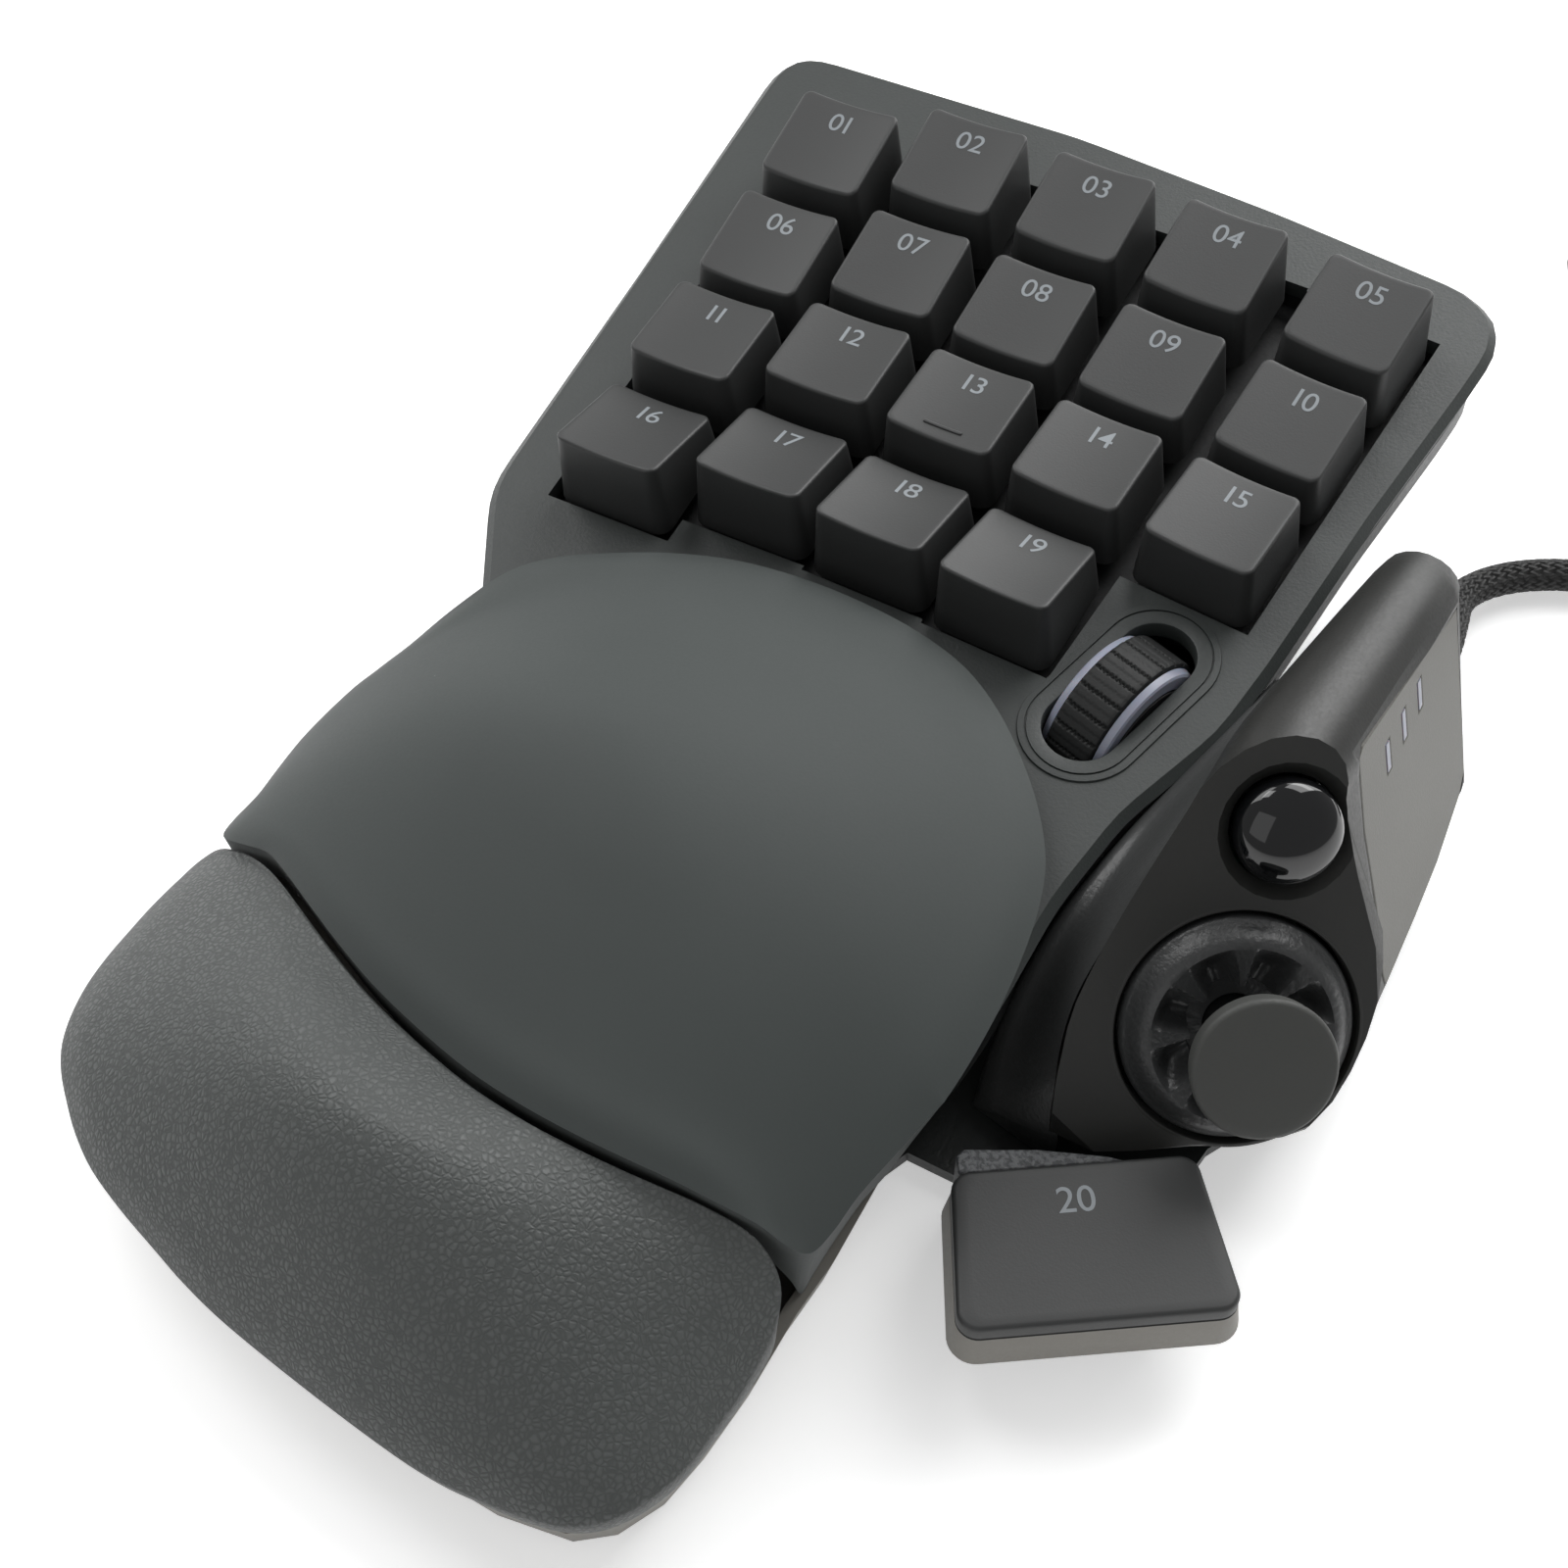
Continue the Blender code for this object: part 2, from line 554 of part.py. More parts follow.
def cutter(target, name, mesh, matrix=None, operation="DIFFERENCE", parent=None):
    """Cut, join or trim a target by a hidden helper shape."""
    tool = add_object(name, mesh, None, parent or target.parent, matrix)
    tool.hide_render = True
    tool.display_type = "WIRE"
    step = target.modifiers.new(name, "BOOLEAN")
    step.operation = operation
    step.solver = "EXACT"
    step.object = tool
    return tool


def turned_mesh(name, profile, sides=ROUND_SIDES, smooth_angle=None, ribs=0, rib=0.0):
    """A solid turned about Z from (radius, height) points; ribs vary its outer radius."""
    outer = max(radius for radius, _ in profile)
    rings = []
    for radius, height in profile:
        ring = []
        for index in range(sides):
            angle = math.tau * index / sides
            shrink = rib if ribs and radius == outer and (index * ribs * 2 // sides) % 2 else 0.0
            ring.append(((radius - shrink) * math.cos(angle), (radius - shrink) * math.sin(angle),
                         height))
        rings.append(ring)
    return stacked_mesh(name, rings, smooth_angle)


def annulus_mesh(name, inner, outer, low, high, sides=ROUND_SIDES, ribs=0, rib=0.0):
    """A flat ring about Z; ribs are sunk between raised bars on its outer side."""
    wide = []
    for index in range(sides):
        angle = math.tau * index / sides
        radius = outer - (rib if ribs and index % 2 else 0.0)
        wide.append((radius * math.cos(angle), radius * math.sin(angle)))
    narrow = circle(inner, sides)
    rings = [lift(narrow, low), lift(wide, low), lift(wide, high), lift(narrow, high)]
    return stacked_mesh(name, rings, math.radians(40), closed=True)


def deck_matrix():
    return Matrix.Translation((DECK_X, DECK_Y, DECK_Z)) @ Matrix.Rotation(DECK_TILT, 4, "X")


def deck_frame():
    """The empty that carries everything on the sloping key deck."""
    frame = bpy.data.objects.new("deck_frame", None)
    bpy.context.collection.objects.link(frame)
    frame.matrix_local = deck_matrix()
    return frame


def scaled(shares, width, length, x=0.0, y=0.0):
    return [(x + share_x * width, y + share_y * length) for share_x, share_y in shares]


def deck_outline():
    return scaled(DECK_OUTLINE_shares, DECK_WIDTH, DECK_LENGTH)


def key_place(column, row):
    """Middle of a key's base on the deck, and its lean."""
    middle = -KEY_PITCH * (KEY_ROWS - 1) / 2
    lean = COLUMN_LEAN[column]
    along = -KEY_PITCH * row - middle
    x = COLUMN_X[column] - math.sin(lean) * along
    y = COLUMN_SHIFT[column] + middle + math.cos(lean) * along
    return x, y, lean


def well_outline():
    """The stepped opening round the keys, anticlockwise from the front left."""
    reach = KEY_BASE / 2 + WELL_MARGIN

    def corner(column, row, side_x, side_y):
        x, y, lean = key_place(column, row)
        shift_x = side_x * reach
        shift_y = side_y * reach
        return (x + shift_x * math.cos(lean) - shift_y * math.sin(lean),
                y + shift_x * math.sin(lean) + shift_y * math.cos(lean))

    last = len(COLUMN_X) - 1
    points = [corner(0, KEY_ROWS - 1, -1, -1)]
    for column in range(last - 1):
        left = corner(column, KEY_ROWS - 1, 1, -1)
        right = corner(column + 1, KEY_ROWS - 1, -1, -1)
        seam = (left[0] + right[0]) / 2
        points += [(seam, left[1]), (seam, right[1])]
    points.append(corner(last - 1, KEY_ROWS - 1, 1, -1))
    inner = corner(last - 1, KEY_ROWS - 1, 1, 1)
    step = corner(last, KEY_ROWS - 2, -1, -1)
    points.append((inner[0] + WELL_MARGIN, step[1]))
    points.append(corner(last, KEY_ROWS - 2, 1, -1))
    points.append(corner(last, 0, 1, 1))
    for column in range(last, 0, -1):
        left = corner(column - 1, 0, 1, 1)
        right = corner(column, 0, -1, 1)
        seam = (left[0] + right[0]) / 2
        points += [(seam, right[1]), (seam, left[1])]
    points.append(corner(0, 0, -1, 1))
    return points


def wheel_matrix():
    """Frame of the wheel: Y rolls, X is the axle, Z is the deck's normal."""
    place = Matrix.Translation((WHEEL_U, WHEEL_V, 0.0))
    return place @ Matrix.Rotation(WHEEL_LEAN, 4, "Z")


def build_top_shell(deck):
    """The moulded deck cover with its skirt, key well and wheel slot."""
    outline = deck_outline()
    rings = [lift(eased(inset(outline, SHELL_DRAFT), DECK_EASE), -SHELL_SKIRT),
             lift(eased(outline, DECK_EASE), -SHELL_EDGE_ROUND),
             lift(eased(inset(outline, SHELL_EDGE_ROUND), DECK_EASE), 0.0)]
    shell = add_object("top_shell", stacked_mesh("top_shell", rings), "shell", deck)
    wide = eased(inset(outline, SHELL_WALL), DECK_EASE)
    narrow = eased(inset(outline, SHELL_WALL + SHELL_DRAFT), DECK_EASE)
    hollow = [lift(narrow, -SHELL_SKIRT - OVERRUN), lift(narrow, -SHELL_SKIRT), lift(wide, -SHELL_TOP)]
    cutter(shell, "shell_hollow", stacked_mesh("shell_hollow", hollow))
    well = prism_mesh("key_well", well_outline(), -SHELL_SKIRT, OVERRUN)
    cutter(shell, "key_well", well)
    slot = prism_mesh("wheel_slot", stadium(BEZEL_LENGTH, BEZEL_HALF), -SHELL_SKIRT, OVERRUN)
    cutter(shell, "wheel_slot", slot, wheel_matrix())
    return shell


def build_housing(deck):
    """The lower housing: a tapering wall between the base plate and the top shell."""
    outline = inset(deck_outline(), SHELL_DRAFT)
    to_world = deck_matrix()
    plate_top = FOOT_HEIGHT + GAP + PLATE + GAP
    top = SHELL_SKIRT + GAP
    front = min(y for _, y in outline)
    middle = (max(x for x, _ in outline) + min(x for x, _ in outline)) / 2

    def ring(points, depth, low):
        placed = []
        for x, y in points:
            if low:
                x = middle + (x - middle) * HOUSING_SHRINK_X_share
                y = front + (y - front) * HOUSING_SHRINK_Y_share
            point = to_world @ Vector((x, y, -depth))
            placed.append((point.x, point.y, plate_top if low else point.z))
        return placed

    inner = eased(inset(outline, SHELL_WALL), DECK_EASE)
    outline = eased(outline, DECK_EASE)
    rings = [ring(outline, top, False), ring(outline, top + HOUSING_LIP, False),
             ring(outline, top, True), ring(inner, top, True),
             ring(inner, top + HOUSING_LIP, False), ring(inner, top, False)]
    housing = add_object("rear_housing", stacked_mesh("rear_housing", rings, closed=True), "housing")
    for index, x in enumerate(TONGUE_X):
        cutter(housing, "housing_slot_%d" % (index + 1), tongue_mesh(x, TONGUE_SIDE_GAP))
    return housing


def tongue_mesh(x, margin=0.0):
    """One slide tongue of the palm rest, or the slot that clears it."""
    low = FOOT_HEIGHT + GAP + PLATE + GAP - margin
    high = low + TONGUE_HEIGHT + margin * 2
    half = TONGUE_WIDTH / 2 + margin
    back = TONGUE_BACK + margin
    front = TONGUE_BACK - TONGUE_LENGTH - margin
    outline = [(x - half, front), (x + half, front), (x + half, back), (x - half, back)]
    return prism_mesh("tongue", outline, low, high)


def build_guide_plate(deck):
    """The tray under the keys with one square tower and bore for each plunger."""
    well = well_outline()
    outer = inset(well, -GUIDE_WALL - GAP)
    inner = inset(well, -GAP)
    floor = -GUIDE_TOP
    rings = [lift(outer, floor - GUIDE_FLOOR), lift(outer, -SHELL_TOP - GAP),
             lift(inner, -SHELL_TOP - GAP), lift(inner, floor)]
    tray = add_object("key_guide_plate", stacked_mesh("key_guide_plate", rings), "inner", deck)
    towers = bmesh.new()
    bores = bmesh.new()
    half = TOWER_SIDE / 2
    for column, keys in enumerate(COLUMN_KEYS):
        for row in range(keys):
            x, y, lean = key_place(column, row)
            turn = Matrix.Translation((x, y, 0.0)) @ Matrix.Rotation(lean, 4, "Z")
            add_prism(towers, [(half, -half), (half, half), (-half, half), (-half, -half)],
                      floor - GUIDE_FLOOR / 2, floor + TOWER_HEIGHT, turn)
            add_prism(bores, circle(TOWER_BORE / 2, SMALL_SIDES), floor - GUIDE_FLOOR - OVERRUN,
                      floor + TOWER_HEIGHT + OVERRUN, turn)
    cutter(tray, "key_towers", finish_mesh("key_towers", towers), operation="UNION")
    cutter(tray, "key_bores", finish_mesh("key_bores", bores))
    return tray


def add_prism(shape, outline, low, high, matrix=None):
    """Add a closed prism to a bmesh."""
    matrix = matrix or Matrix.Identity(4)
    bottom = [shape.verts.new(matrix @ Vector((x, y, low))) for x, y in outline]
    top = [shape.verts.new(matrix @ Vector((x, y, high))) for x, y in outline]
    shape.faces.new(list(reversed(bottom)))
    shape.faces.new(top)
    for index in range(len(outline)):
        after = (index + 1) % len(outline)
        shape.faces.new((bottom[index], bottom[after], top[after], top[index]))


def finish_mesh(name, shape):
    bmesh.ops.recalc_face_normals(shape, faces=shape.faces)
    mesh = bpy.data.meshes.new(name)
    shape.to_mesh(mesh)
    shape.free()
    return mesh


def build_main_board(deck):
    """The circuit board under the guide plate."""
    top = -GUIDE_TOP - GUIDE_FLOOR - GAP
    outline = well_outline()
    return add_object("main_circuit_board", prism_mesh("main_circuit_board", outline, top - BOARD, top),
                      "board", deck)


def keycap_mesh(name, row):
    """A hollow stepped cap with its plunger; its origin is on the slide axis at the well's rim."""
    height = KEY_HEIGHTS[row]
    slope = math.tan(KEY_SLOPES[row])
    foot = -KEY_SINK
    corner = KEY_BASE * KEY_CORNER_share
    base = rounded_box(KEY_BASE, KEY_BASE, corner)
    rim = rounded_box(KEY_TOP, KEY_TOP, corner)
    face = rounded_box(KEY_TOP - 2 * KEY_EDGE, KEY_TOP - 2 * KEY_EDGE, corner - KEY_EDGE / 2)
    inside = rounded_box(KEY_BASE - 2 * KEY_WALL, KEY_BASE - 2 * KEY_WALL, corner - KEY_WALL / 2)
    roof = rounded_box(KEY_TOP - 2 * KEY_WALL, KEY_TOP - 2 * KEY_WALL, corner - KEY_WALL / 2)
    start = math.radians(-60)
    stem = circle(PLUNGER / 2, len(base), turn=start)

    def tilted(outline, level):
        return [(x, y, level + y * slope) for x, y in outline]

    rings = [tilted(face, height), tilted(rim, height - KEY_EDGE), lift(base, foot),
             lift(inside, foot), tilted(roof, height - KEY_WALL - KEY_EDGE / 2),
             tilted(stem, height - KEY_WALL - KEY_EDGE / 2), lift(stem, -PLUNGER_DEPTH)]
    return stacked_mesh(name, rings, math.radians(30))


def build_keycaps(deck):
    """Nineteen caps, numbered from the back row's left, one mesh for each row."""
    meshes = [keycap_mesh("keycap_row_%d" % (row + 1), row) for row in range(KEY_ROWS)]
    number = 0
    for row in range(KEY_ROWS):
        for column, keys in enumerate(COLUMN_KEYS):
            if row >= keys:
                continue
            number += 1
            x, y, lean = key_place(column, row)
            place = Matrix.Translation((x, y, 0.0)) @ Matrix.Rotation(lean, 4, "Z")
            add_object("keycap_%02d" % number, meshes[row], "key", deck, place)


def build_wheel(deck):
    """Bezel, tread, hub with its axle, two light rings and the bracket that holds the axle."""
    frame = wheel_matrix()
    bezel_low = -SHELL_TOP
    ring_mesh = stadium_ring("wheel_bezel", BEZEL_LENGTH - 2 * GAP, BEZEL_HALF - GAP,
                             WHEEL_SLOT_LENGTH, WHEEL_SLOT_HALF, bezel_low, BEZEL_RISE)
    add_object("wheel_bezel", ring_mesh, "gloss", deck, frame)
    axis = frame @ Matrix.Translation((0.0, 0.0, -WHEEL_DROP)) @ Matrix.Rotation(math.pi / 2, 4, "Y")
    hub_radius = WHEEL_RADIUS - TREAD_DEPTH
    tread = annulus_mesh("wheel_tread", hub_radius + GAP, WHEEL_RADIUS, -TREAD_HALF, TREAD_HALF,
                         TREAD_RIBS * 2, TREAD_RIBS, TREAD_RIB)
    add_object("wheel_tread", tread, "rubber", deck, axis)
    ring_low = TREAD_HALF + GAP
    ring_high = ring_low + LIGHT_RING
    boss = LIGHT_RING_INNER - GAP
    profile = [(AXLE, -AXLE_HALF), (AXLE, -ring_high), (boss, -ring_high), (boss, -TREAD_HALF),
               (hub_radius, -TREAD_HALF), (hub_radius, TREAD_HALF), (boss, TREAD_HALF),
               (boss, ring_high), (AXLE, ring_high), (AXLE, AXLE_HALF)]
    add_object("wheel_hub", turned_mesh("wheel_hub", profile, ROUND_SIDES, math.radians(40)),
               "inner", deck, axis)
    left = annulus_mesh("wheel_light_ring_left", LIGHT_RING_INNER, LIGHT_RING_OUTER, -ring_high, -ring_low)
    add_object("wheel_light_ring_left", left, "light", deck, axis)
    right = annulus_mesh("wheel_light_ring_right", LIGHT_RING_INNER, LIGHT_RING_OUTER, ring_low, ring_high)
    add_object("wheel_light_ring_right", right, "light", deck, axis)
    inner = ring_high + GAP
    outer = inner + EAR_WALL
    floor = -WHEEL_DROP - WHEEL_RADIUS - GAP - EAR_WALL
    under = floor - EAR_WALL
    ear_top = -WHEEL_DROP + AXLE + EAR_WALL
    world = deck_matrix() @ frame
    foot = (FOOT_HEIGHT + GAP + PLATE + GAP - world.translation.z) / math.cos(DECK_TILT)
    foot += EAR_HALF * math.tan(DECK_TILT)
    profile = [(-outer, ear_top), (-outer, under), (-POST_HALF, under), (-POST_HALF, foot),
               (POST_HALF, foot), (POST_HALF, under), (outer, under), (outer, ear_top),
               (inner, ear_top), (inner, floor), (-inner, floor), (-inner, ear_top)]
    rings = [[(x, side, z) for x, z in profile] for side in (-EAR_HALF, EAR_HALF)]
    bracket = add_object("wheel_bracket", stacked_mesh("wheel_bracket", rings), "metal", deck, frame)
    hole = prism_mesh("axle_holes", circle(AXLE + GAP, SMALL_SIDES), -outer - OVERRUN, outer + OVERRUN)
    cutter(bracket, "axle_holes", hole, axis)


def stadium_ring(name, length, half, slot_length, slot_half, low, high):
    """A flat ring with a slot through it, long in y."""
    outer = stadium(length, half)
    inner = stadium(slot_length, slot_half)
    rings = [lift(inner, low), lift(outer, low), lift(outer, high - BEZEL_RISE),
             lift(inset(outer, BEZEL_RISE), high), lift(inner, high)]
    return stacked_mesh(name, rings, math.radians(30), closed=True)


def build_base():
    """Base plate with its wing under the thumb module, three feet and two screws."""
    outline = scaled(PLATE_OUTLINE_shares, PLATE_WIDTH, PLATE_LENGTH, PLATE_X, PLATE_Y)
    low = FOOT_HEIGHT + GAP
    plate = add_object("base_plate", prism_mesh("base_plate", outline, low, low + PLATE), "housing")
    for name, share in FOOT_shares.items():
        x = PLATE_X + share[0] * PLATE_WIDTH
        y = PLATE_Y + share[1] * PLATE_LENGTH
        foot = prism_mesh(name, circle(FOOT_RADIUS, ROUND_SIDES, x, y), 0.0, FOOT_HEIGHT)
        add_object(name, foot, "rubber")
    x = PLATE_X + SCREW_share[0] * PLATE_WIDTH
    y = PLATE_Y + SCREW_share[1] * PLATE_LENGTH
    place = Matrix.Translation((x, y, low))
    hole = [(SCREW_HEAD + GAP, -OVERRUN), (SCREW_HEAD + GAP, SCREW_HEAD_HEIGHT + GAP),
            (SCREW_RADIUS + GAP, SCREW_HEAD_HEIGHT + GAP), (SCREW_RADIUS + GAP, PLATE + OVERRUN)]
    cutter(plate, "screw_hole", turned_mesh("screw_hole", hole, SMALL_SIDES), place)
    body = [(SCREW_HEAD, 0.0), (SCREW_HEAD, SCREW_HEAD_HEIGHT), (SCREW_RADIUS, SCREW_HEAD_HEIGHT),
            (SCREW_RADIUS, SCREW_LENGTH)]
    add_object("base_screw", turned_mesh("base_screw", body, SMALL_SIDES), "metal", None, place)


def palm_point(share_x, share_y, share_z=0.0):
    return (PALM_X + share_x * PALM_WIDTH, PALM_Y + share_y * PALM_LENGTH, share_z * PALM_HEIGHT)


def evened(rows, passes):
    """Rows of numbers round a loop, each drawn towards its neighbours."""
    for _ in range(passes):
        rows = [tuple((a + 2 * b + c) / 4 for a, b, c in zip(rows[index - 1], rows[index],
                                                             rows[(index + 1) % len(rows)]))
                for index in range(len(rows))]
    return rows


def crown_rings(edge_line, heights, apex, shares, sink=0.0):
    """Rings that climb from an edge to a crown along a sine, evened out on the way up."""
    rings = []
    for level, share in enumerate(shares):
        rise = math.sin(share * math.pi / 2) ** 0.85 if share else 0.0
        rows = evened([(x, y, edge) for (x, y), edge in zip(edge_line, heights)], EVENING * level * level)
        outline = [(x, y) for x, y, _ in rows]
        edges = [edge for _, _, edge in rows]
        ring = []
        for (x, y), edge in zip(outline, edges):
            ring.append((x + (apex[0] - x) * share, y + (apex[1] - y) * share,
                         edge + (apex[2] - edge) * rise - sink))
        rings.append(ring)
    return rings


def build_palm_dome():
    """The rubber-coated dome, an open shell that overhangs the front of the deck."""
    rows = smooth_loop(DOME_EDGE_shares)
    outline = [palm_point(row[0], row[1])[:2] for row in rows]
    edges = [row[2] * PALM_HEIGHT for row in rows]
    lows = []
    count = len(DOME_EDGE_shares)
    for index in range(count):
        here = DOME_EDGE_shares[index][3]
        after = DOME_EDGE_shares[(index + 1) % count][3]
        lows += [here * PALM_HEIGHT, (here + after) / 2 * PALM_HEIGHT]
    draws = [row[4] * PALM_WIDTH for row in rows]
    apex = palm_point(*DOME_APEX_shares)
    outer = crown_rings(outline, edges, apex, DOME_RINGS_shares)
    inner = crown_rings(inset(outline, PALM_WALL), edges, apex, DOME_RINGS_shares, PALM_WALL)
    low_outer = inset(outline, draws)
    low_inner = inset(outline, [draw + PALM_WALL for draw in draws])
    foot_outer = [(x, y, low) for (x, y), low in zip(low_outer, lows)]
    foot_inner = [(x, y, low) for (x, y), low in zip(low_inner, lows)]
    rings = list(reversed(outer)) + [foot_outer, foot_inner] + inner
    dome = stacked_mesh("palm_dome", rings, math.radians(50))
    return add_object("palm_dome", dome, "palm")


def build_cushion():
    """The leather wrist cushion: crowned, with its sides drawn in at the foot."""
    rows = smooth_loop(CUSHION_EDGE_shares)
    outline = [palm_point(row[0], row[1])[:2] for row in rows]
    edges = [row[2] * PALM_HEIGHT for row in rows]
    apex = palm_point(*CUSHION_APEX_shares)
    rings = list(reversed(crown_rings(outline, edges, apex, CUSHION_RINGS_shares)))
    foot = TRAY_TOP + GAP
    rings.append(lift(inset(outline, CUSHION_DRAW / 4), foot + CUSHION_DRAW))
    rings.append(lift(inset(outline, CUSHION_DRAW), foot))
    return add_object("wrist_cushion", stacked_mesh("wrist_cushion", rings, math.radians(60)), "leather")


def build_tray():
    """The pale tray under the cushion, its two slide tongues and its two feet."""
    outline = scaled(TRAY_OUTLINE_shares, PALM_WIDTH, PALM_LENGTH, PALM_X, PALM_Y)
    low = FOOT_HEIGHT + GAP
    floor = low + PLATE
    rings = [lift(inset(outline, TRAY_DRAFT), low), lift(outline, TRAY_TOP),
             lift(inset(outline, TRAY_WALL), TRAY_TOP), lift(inset(outline, TRAY_WALL + TRAY_DRAFT / 2), floor)]
    tray = add_object("palm_rest_tray", stacked_mesh("palm_rest_tray", rings), "plate")
    for index, x in enumerate(TONGUE_X):
        side = ("left", "right")[index]
        cutter(tray, "tray_slot_" + side, tongue_mesh(x, GAP / 2))
        add_object("slide_tongue_" + side, tongue_mesh(x), "metal")
    for name, share in PALM_FOOT_shares.items():
        x, y, _ = palm_point(*share)
        add_object(name, prism_mesh(name, circle(FOOT_RADIUS, ROUND_SIDES, x, y), 0.0, FOOT_HEIGHT),
                   "rubber")


def face_matrix():
    """Frame of the thumb face about the pad's middle: Z out of the face, Y towards the button."""
    place = Matrix.Translation((FACE_X, FACE_Y, FACE_Z))
    return (place @ Matrix.Rotation(FACE_YAW, 4, "Z") @ Matrix.Rotation(FACE_LEAN, 4, "X")
            @ Matrix.Rotation(FACE_ROLL, 4, "Z"))


def side_matrix():
    """Frame of the side plate: Z out of the plate, X forward from its back edge, Y down."""
    place = Matrix.Translation((SIDE_X, THUMB_Y, SIDE_Z))
    return place @ Matrix.Rotation(-SIDE_LEAN, 4, "Y") @ Matrix(
        ((0.0, 0.0, 1.0, 0.0), (-1.0, 0.0, 0.0, 0.0), (0.0, -1.0, 0.0, 0.0), (0.0, 0.0, 0.0, 1.0)))


def side_outline():
    return scaled(SIDE_OUTLINE_shares, SIDE_LENGTH, SIDE_DROP, SIDE_SET, 0.0)


def thumb_mesh(name, wall=0.0, drop=0.0):
    """Sections of the thumb module skinned along y, drawn in by a wall and cut by the face."""
    rings = []
    sections = between(THUMB_SECTION_shares)
    last = len(sections) - 1
    right_wall = wall + SIDE_PLATE + GAP if wall else 0.0
    for index, shares in enumerate(sections):
        y = THUMB_Y - shares[0] * THUMB_LENGTH
        if index == 0:
            y -= wall
        if index == last:
            y += wall
        low_left, left, right, bulge, foot, low_right = (THUMB_X + share * THUMB_WIDTH
                                                         for share in shares[1:7])
        bottom, foot_z, bulge_z, shoulder, ridge, top = (share * THUMB_HEIGHT for share in shares[7:])
        right -= right_wall - wall
        middle = (left + right) / 2
        half = (right - left) / 2 - wall
        rise = max(top - ridge - wall, wall)
        ring = [(bulge - right_wall, y, bulge_z), (foot - right_wall, y, foot_z - drop / 2),
                (low_right - right_wall, y, bottom - drop), (low_left + wall, y, bottom - drop),
                (low_left + wall, y, shoulder)]
        for step in range(BARREL_STEPS + 1):
            angle = math.pi - math.pi * step / BARREL_STEPS
            ring.append((middle + half * math.cos(angle), y, ridge + rise * math.sin(angle)))
        rings.append(ring)
    mesh = stacked_mesh(name, rings)
    shape = bmesh.new()
    shape.from_mesh(mesh)
    frame = face_matrix()
    normal = (frame.to_3x3() @ Vector((0.0, 0.0, 1.0))).normalized()
    everything = shape.verts[:] + shape.edges[:] + shape.faces[:]
    bmesh.ops.bisect_plane(shape, geom=everything, plane_co=frame.translation - normal * wall,
                           plane_no=normal, clear_outer=True)
    bmesh.ops.holes_fill(shape, edges=[edge for edge in shape.edges if edge.is_boundary])
    bmesh.ops.recalc_face_normals(shape, faces=shape.faces)
    shape.to_mesh(mesh)
    shape.free()
    return mesh


def build_thumb_shell():
    """The hollow thumb module with holes for the pad, the button and the light pipe."""
    shell = add_object("thumb_module_shell", thumb_mesh("thumb_module_shell"), "shell")
    cutter(shell, "thumb_hollow", thumb_mesh("thumb_hollow", THUMB_WALL, THUMB_HEIGHT / 4))
    face = face_matrix()
    pad_hole = prism_mesh("pad_hole", circle(PAD_RADIUS + PAD_CLEAR),
                          -THUMB_WALL - PAD_DEPTH - OVERRUN, OVERRUN)
    cutter(shell, "pad_hole", pad_hole, face)
    bore = BUTTON_RADIUS + GAP
    funnel = [(2 * BUTTON_RECESS - bore, BUTTON_RECESS_DEPTH), (bore, -BUTTON_RECESS_DEPTH),
              (bore, -THUMB_WALL - OVERRUN)]
    place = face @ Matrix.Translation((BUTTON_SIDE, BUTTON_UP, 0.0))
    cutter(shell, "button_hole", turned_mesh("button_hole", funnel, ROUND_SIDES), place)
    depth = SIDE_PLATE + GAP
    recess = prism_mesh("side_recess", inset(side_outline(), -GAP), -depth, OVERRUN)
    cutter(shell, "side_recess", recess, side_matrix())
    half_x = SLIT_PITCH + SLIT_WIDTH / 2 + GAP
    middle_x = SLIT_START + SLIT_PITCH
    pocket = [(middle_x - half_x - GAP, SLIT_DOWN - GAP), (middle_x + half_x + GAP, SLIT_DOWN - GAP),
              (middle_x + half_x + GAP, SLIT_DOWN + SLIT_LENGTH + GAP),
              (middle_x - half_x - GAP, SLIT_DOWN + SLIT_LENGTH + GAP)]
    cutter(shell, "pipe_pocket", prism_mesh("pipe_pocket", pocket, -depth - PIPE_THICK - GAP, 0.0),
           side_matrix())
    return shell


def deck_block(name, margin):
    """The room that the deck and its housing take up, grown by a margin."""
    outline = deck_outline()
    to_world = deck_matrix()
    plate_top = FOOT_HEIGHT + GAP + PLATE
    front = min(y for _, y in outline)
    middle = (max(x for x, _ in outline) + min(x for x, _ in outline)) / 2
    wide = eased(inset(outline, -margin), DECK_EASE)
    narrow = eased(inset(outline, SHELL_DRAFT - margin), DECK_EASE)
    rings = []
    for height in (SHELL_SKIRT, -SHELL_SKIRT - GAP):
        rings.append([tuple(to_world @ Vector((x, y, height))) for x, y in wide])
    for height in (-SHELL_SKIRT - GAP - margin, -SHELL_SKIRT - GAP - HOUSING_LIP):
        rings.append([tuple(to_world @ Vector((x, y, height))) for x, y in narrow])
    low = []
    for x, y in narrow:
        point = to_world @ Vector((middle + (x - middle) * HOUSING_SHRINK_X_share,
                                   front + (y - front) * HOUSING_SHRINK_Y_share, -SHELL_SKIRT))
        low.append((point.x, point.y, plate_top))
    rings.append(low)
    return stacked_mesh(name, rings)


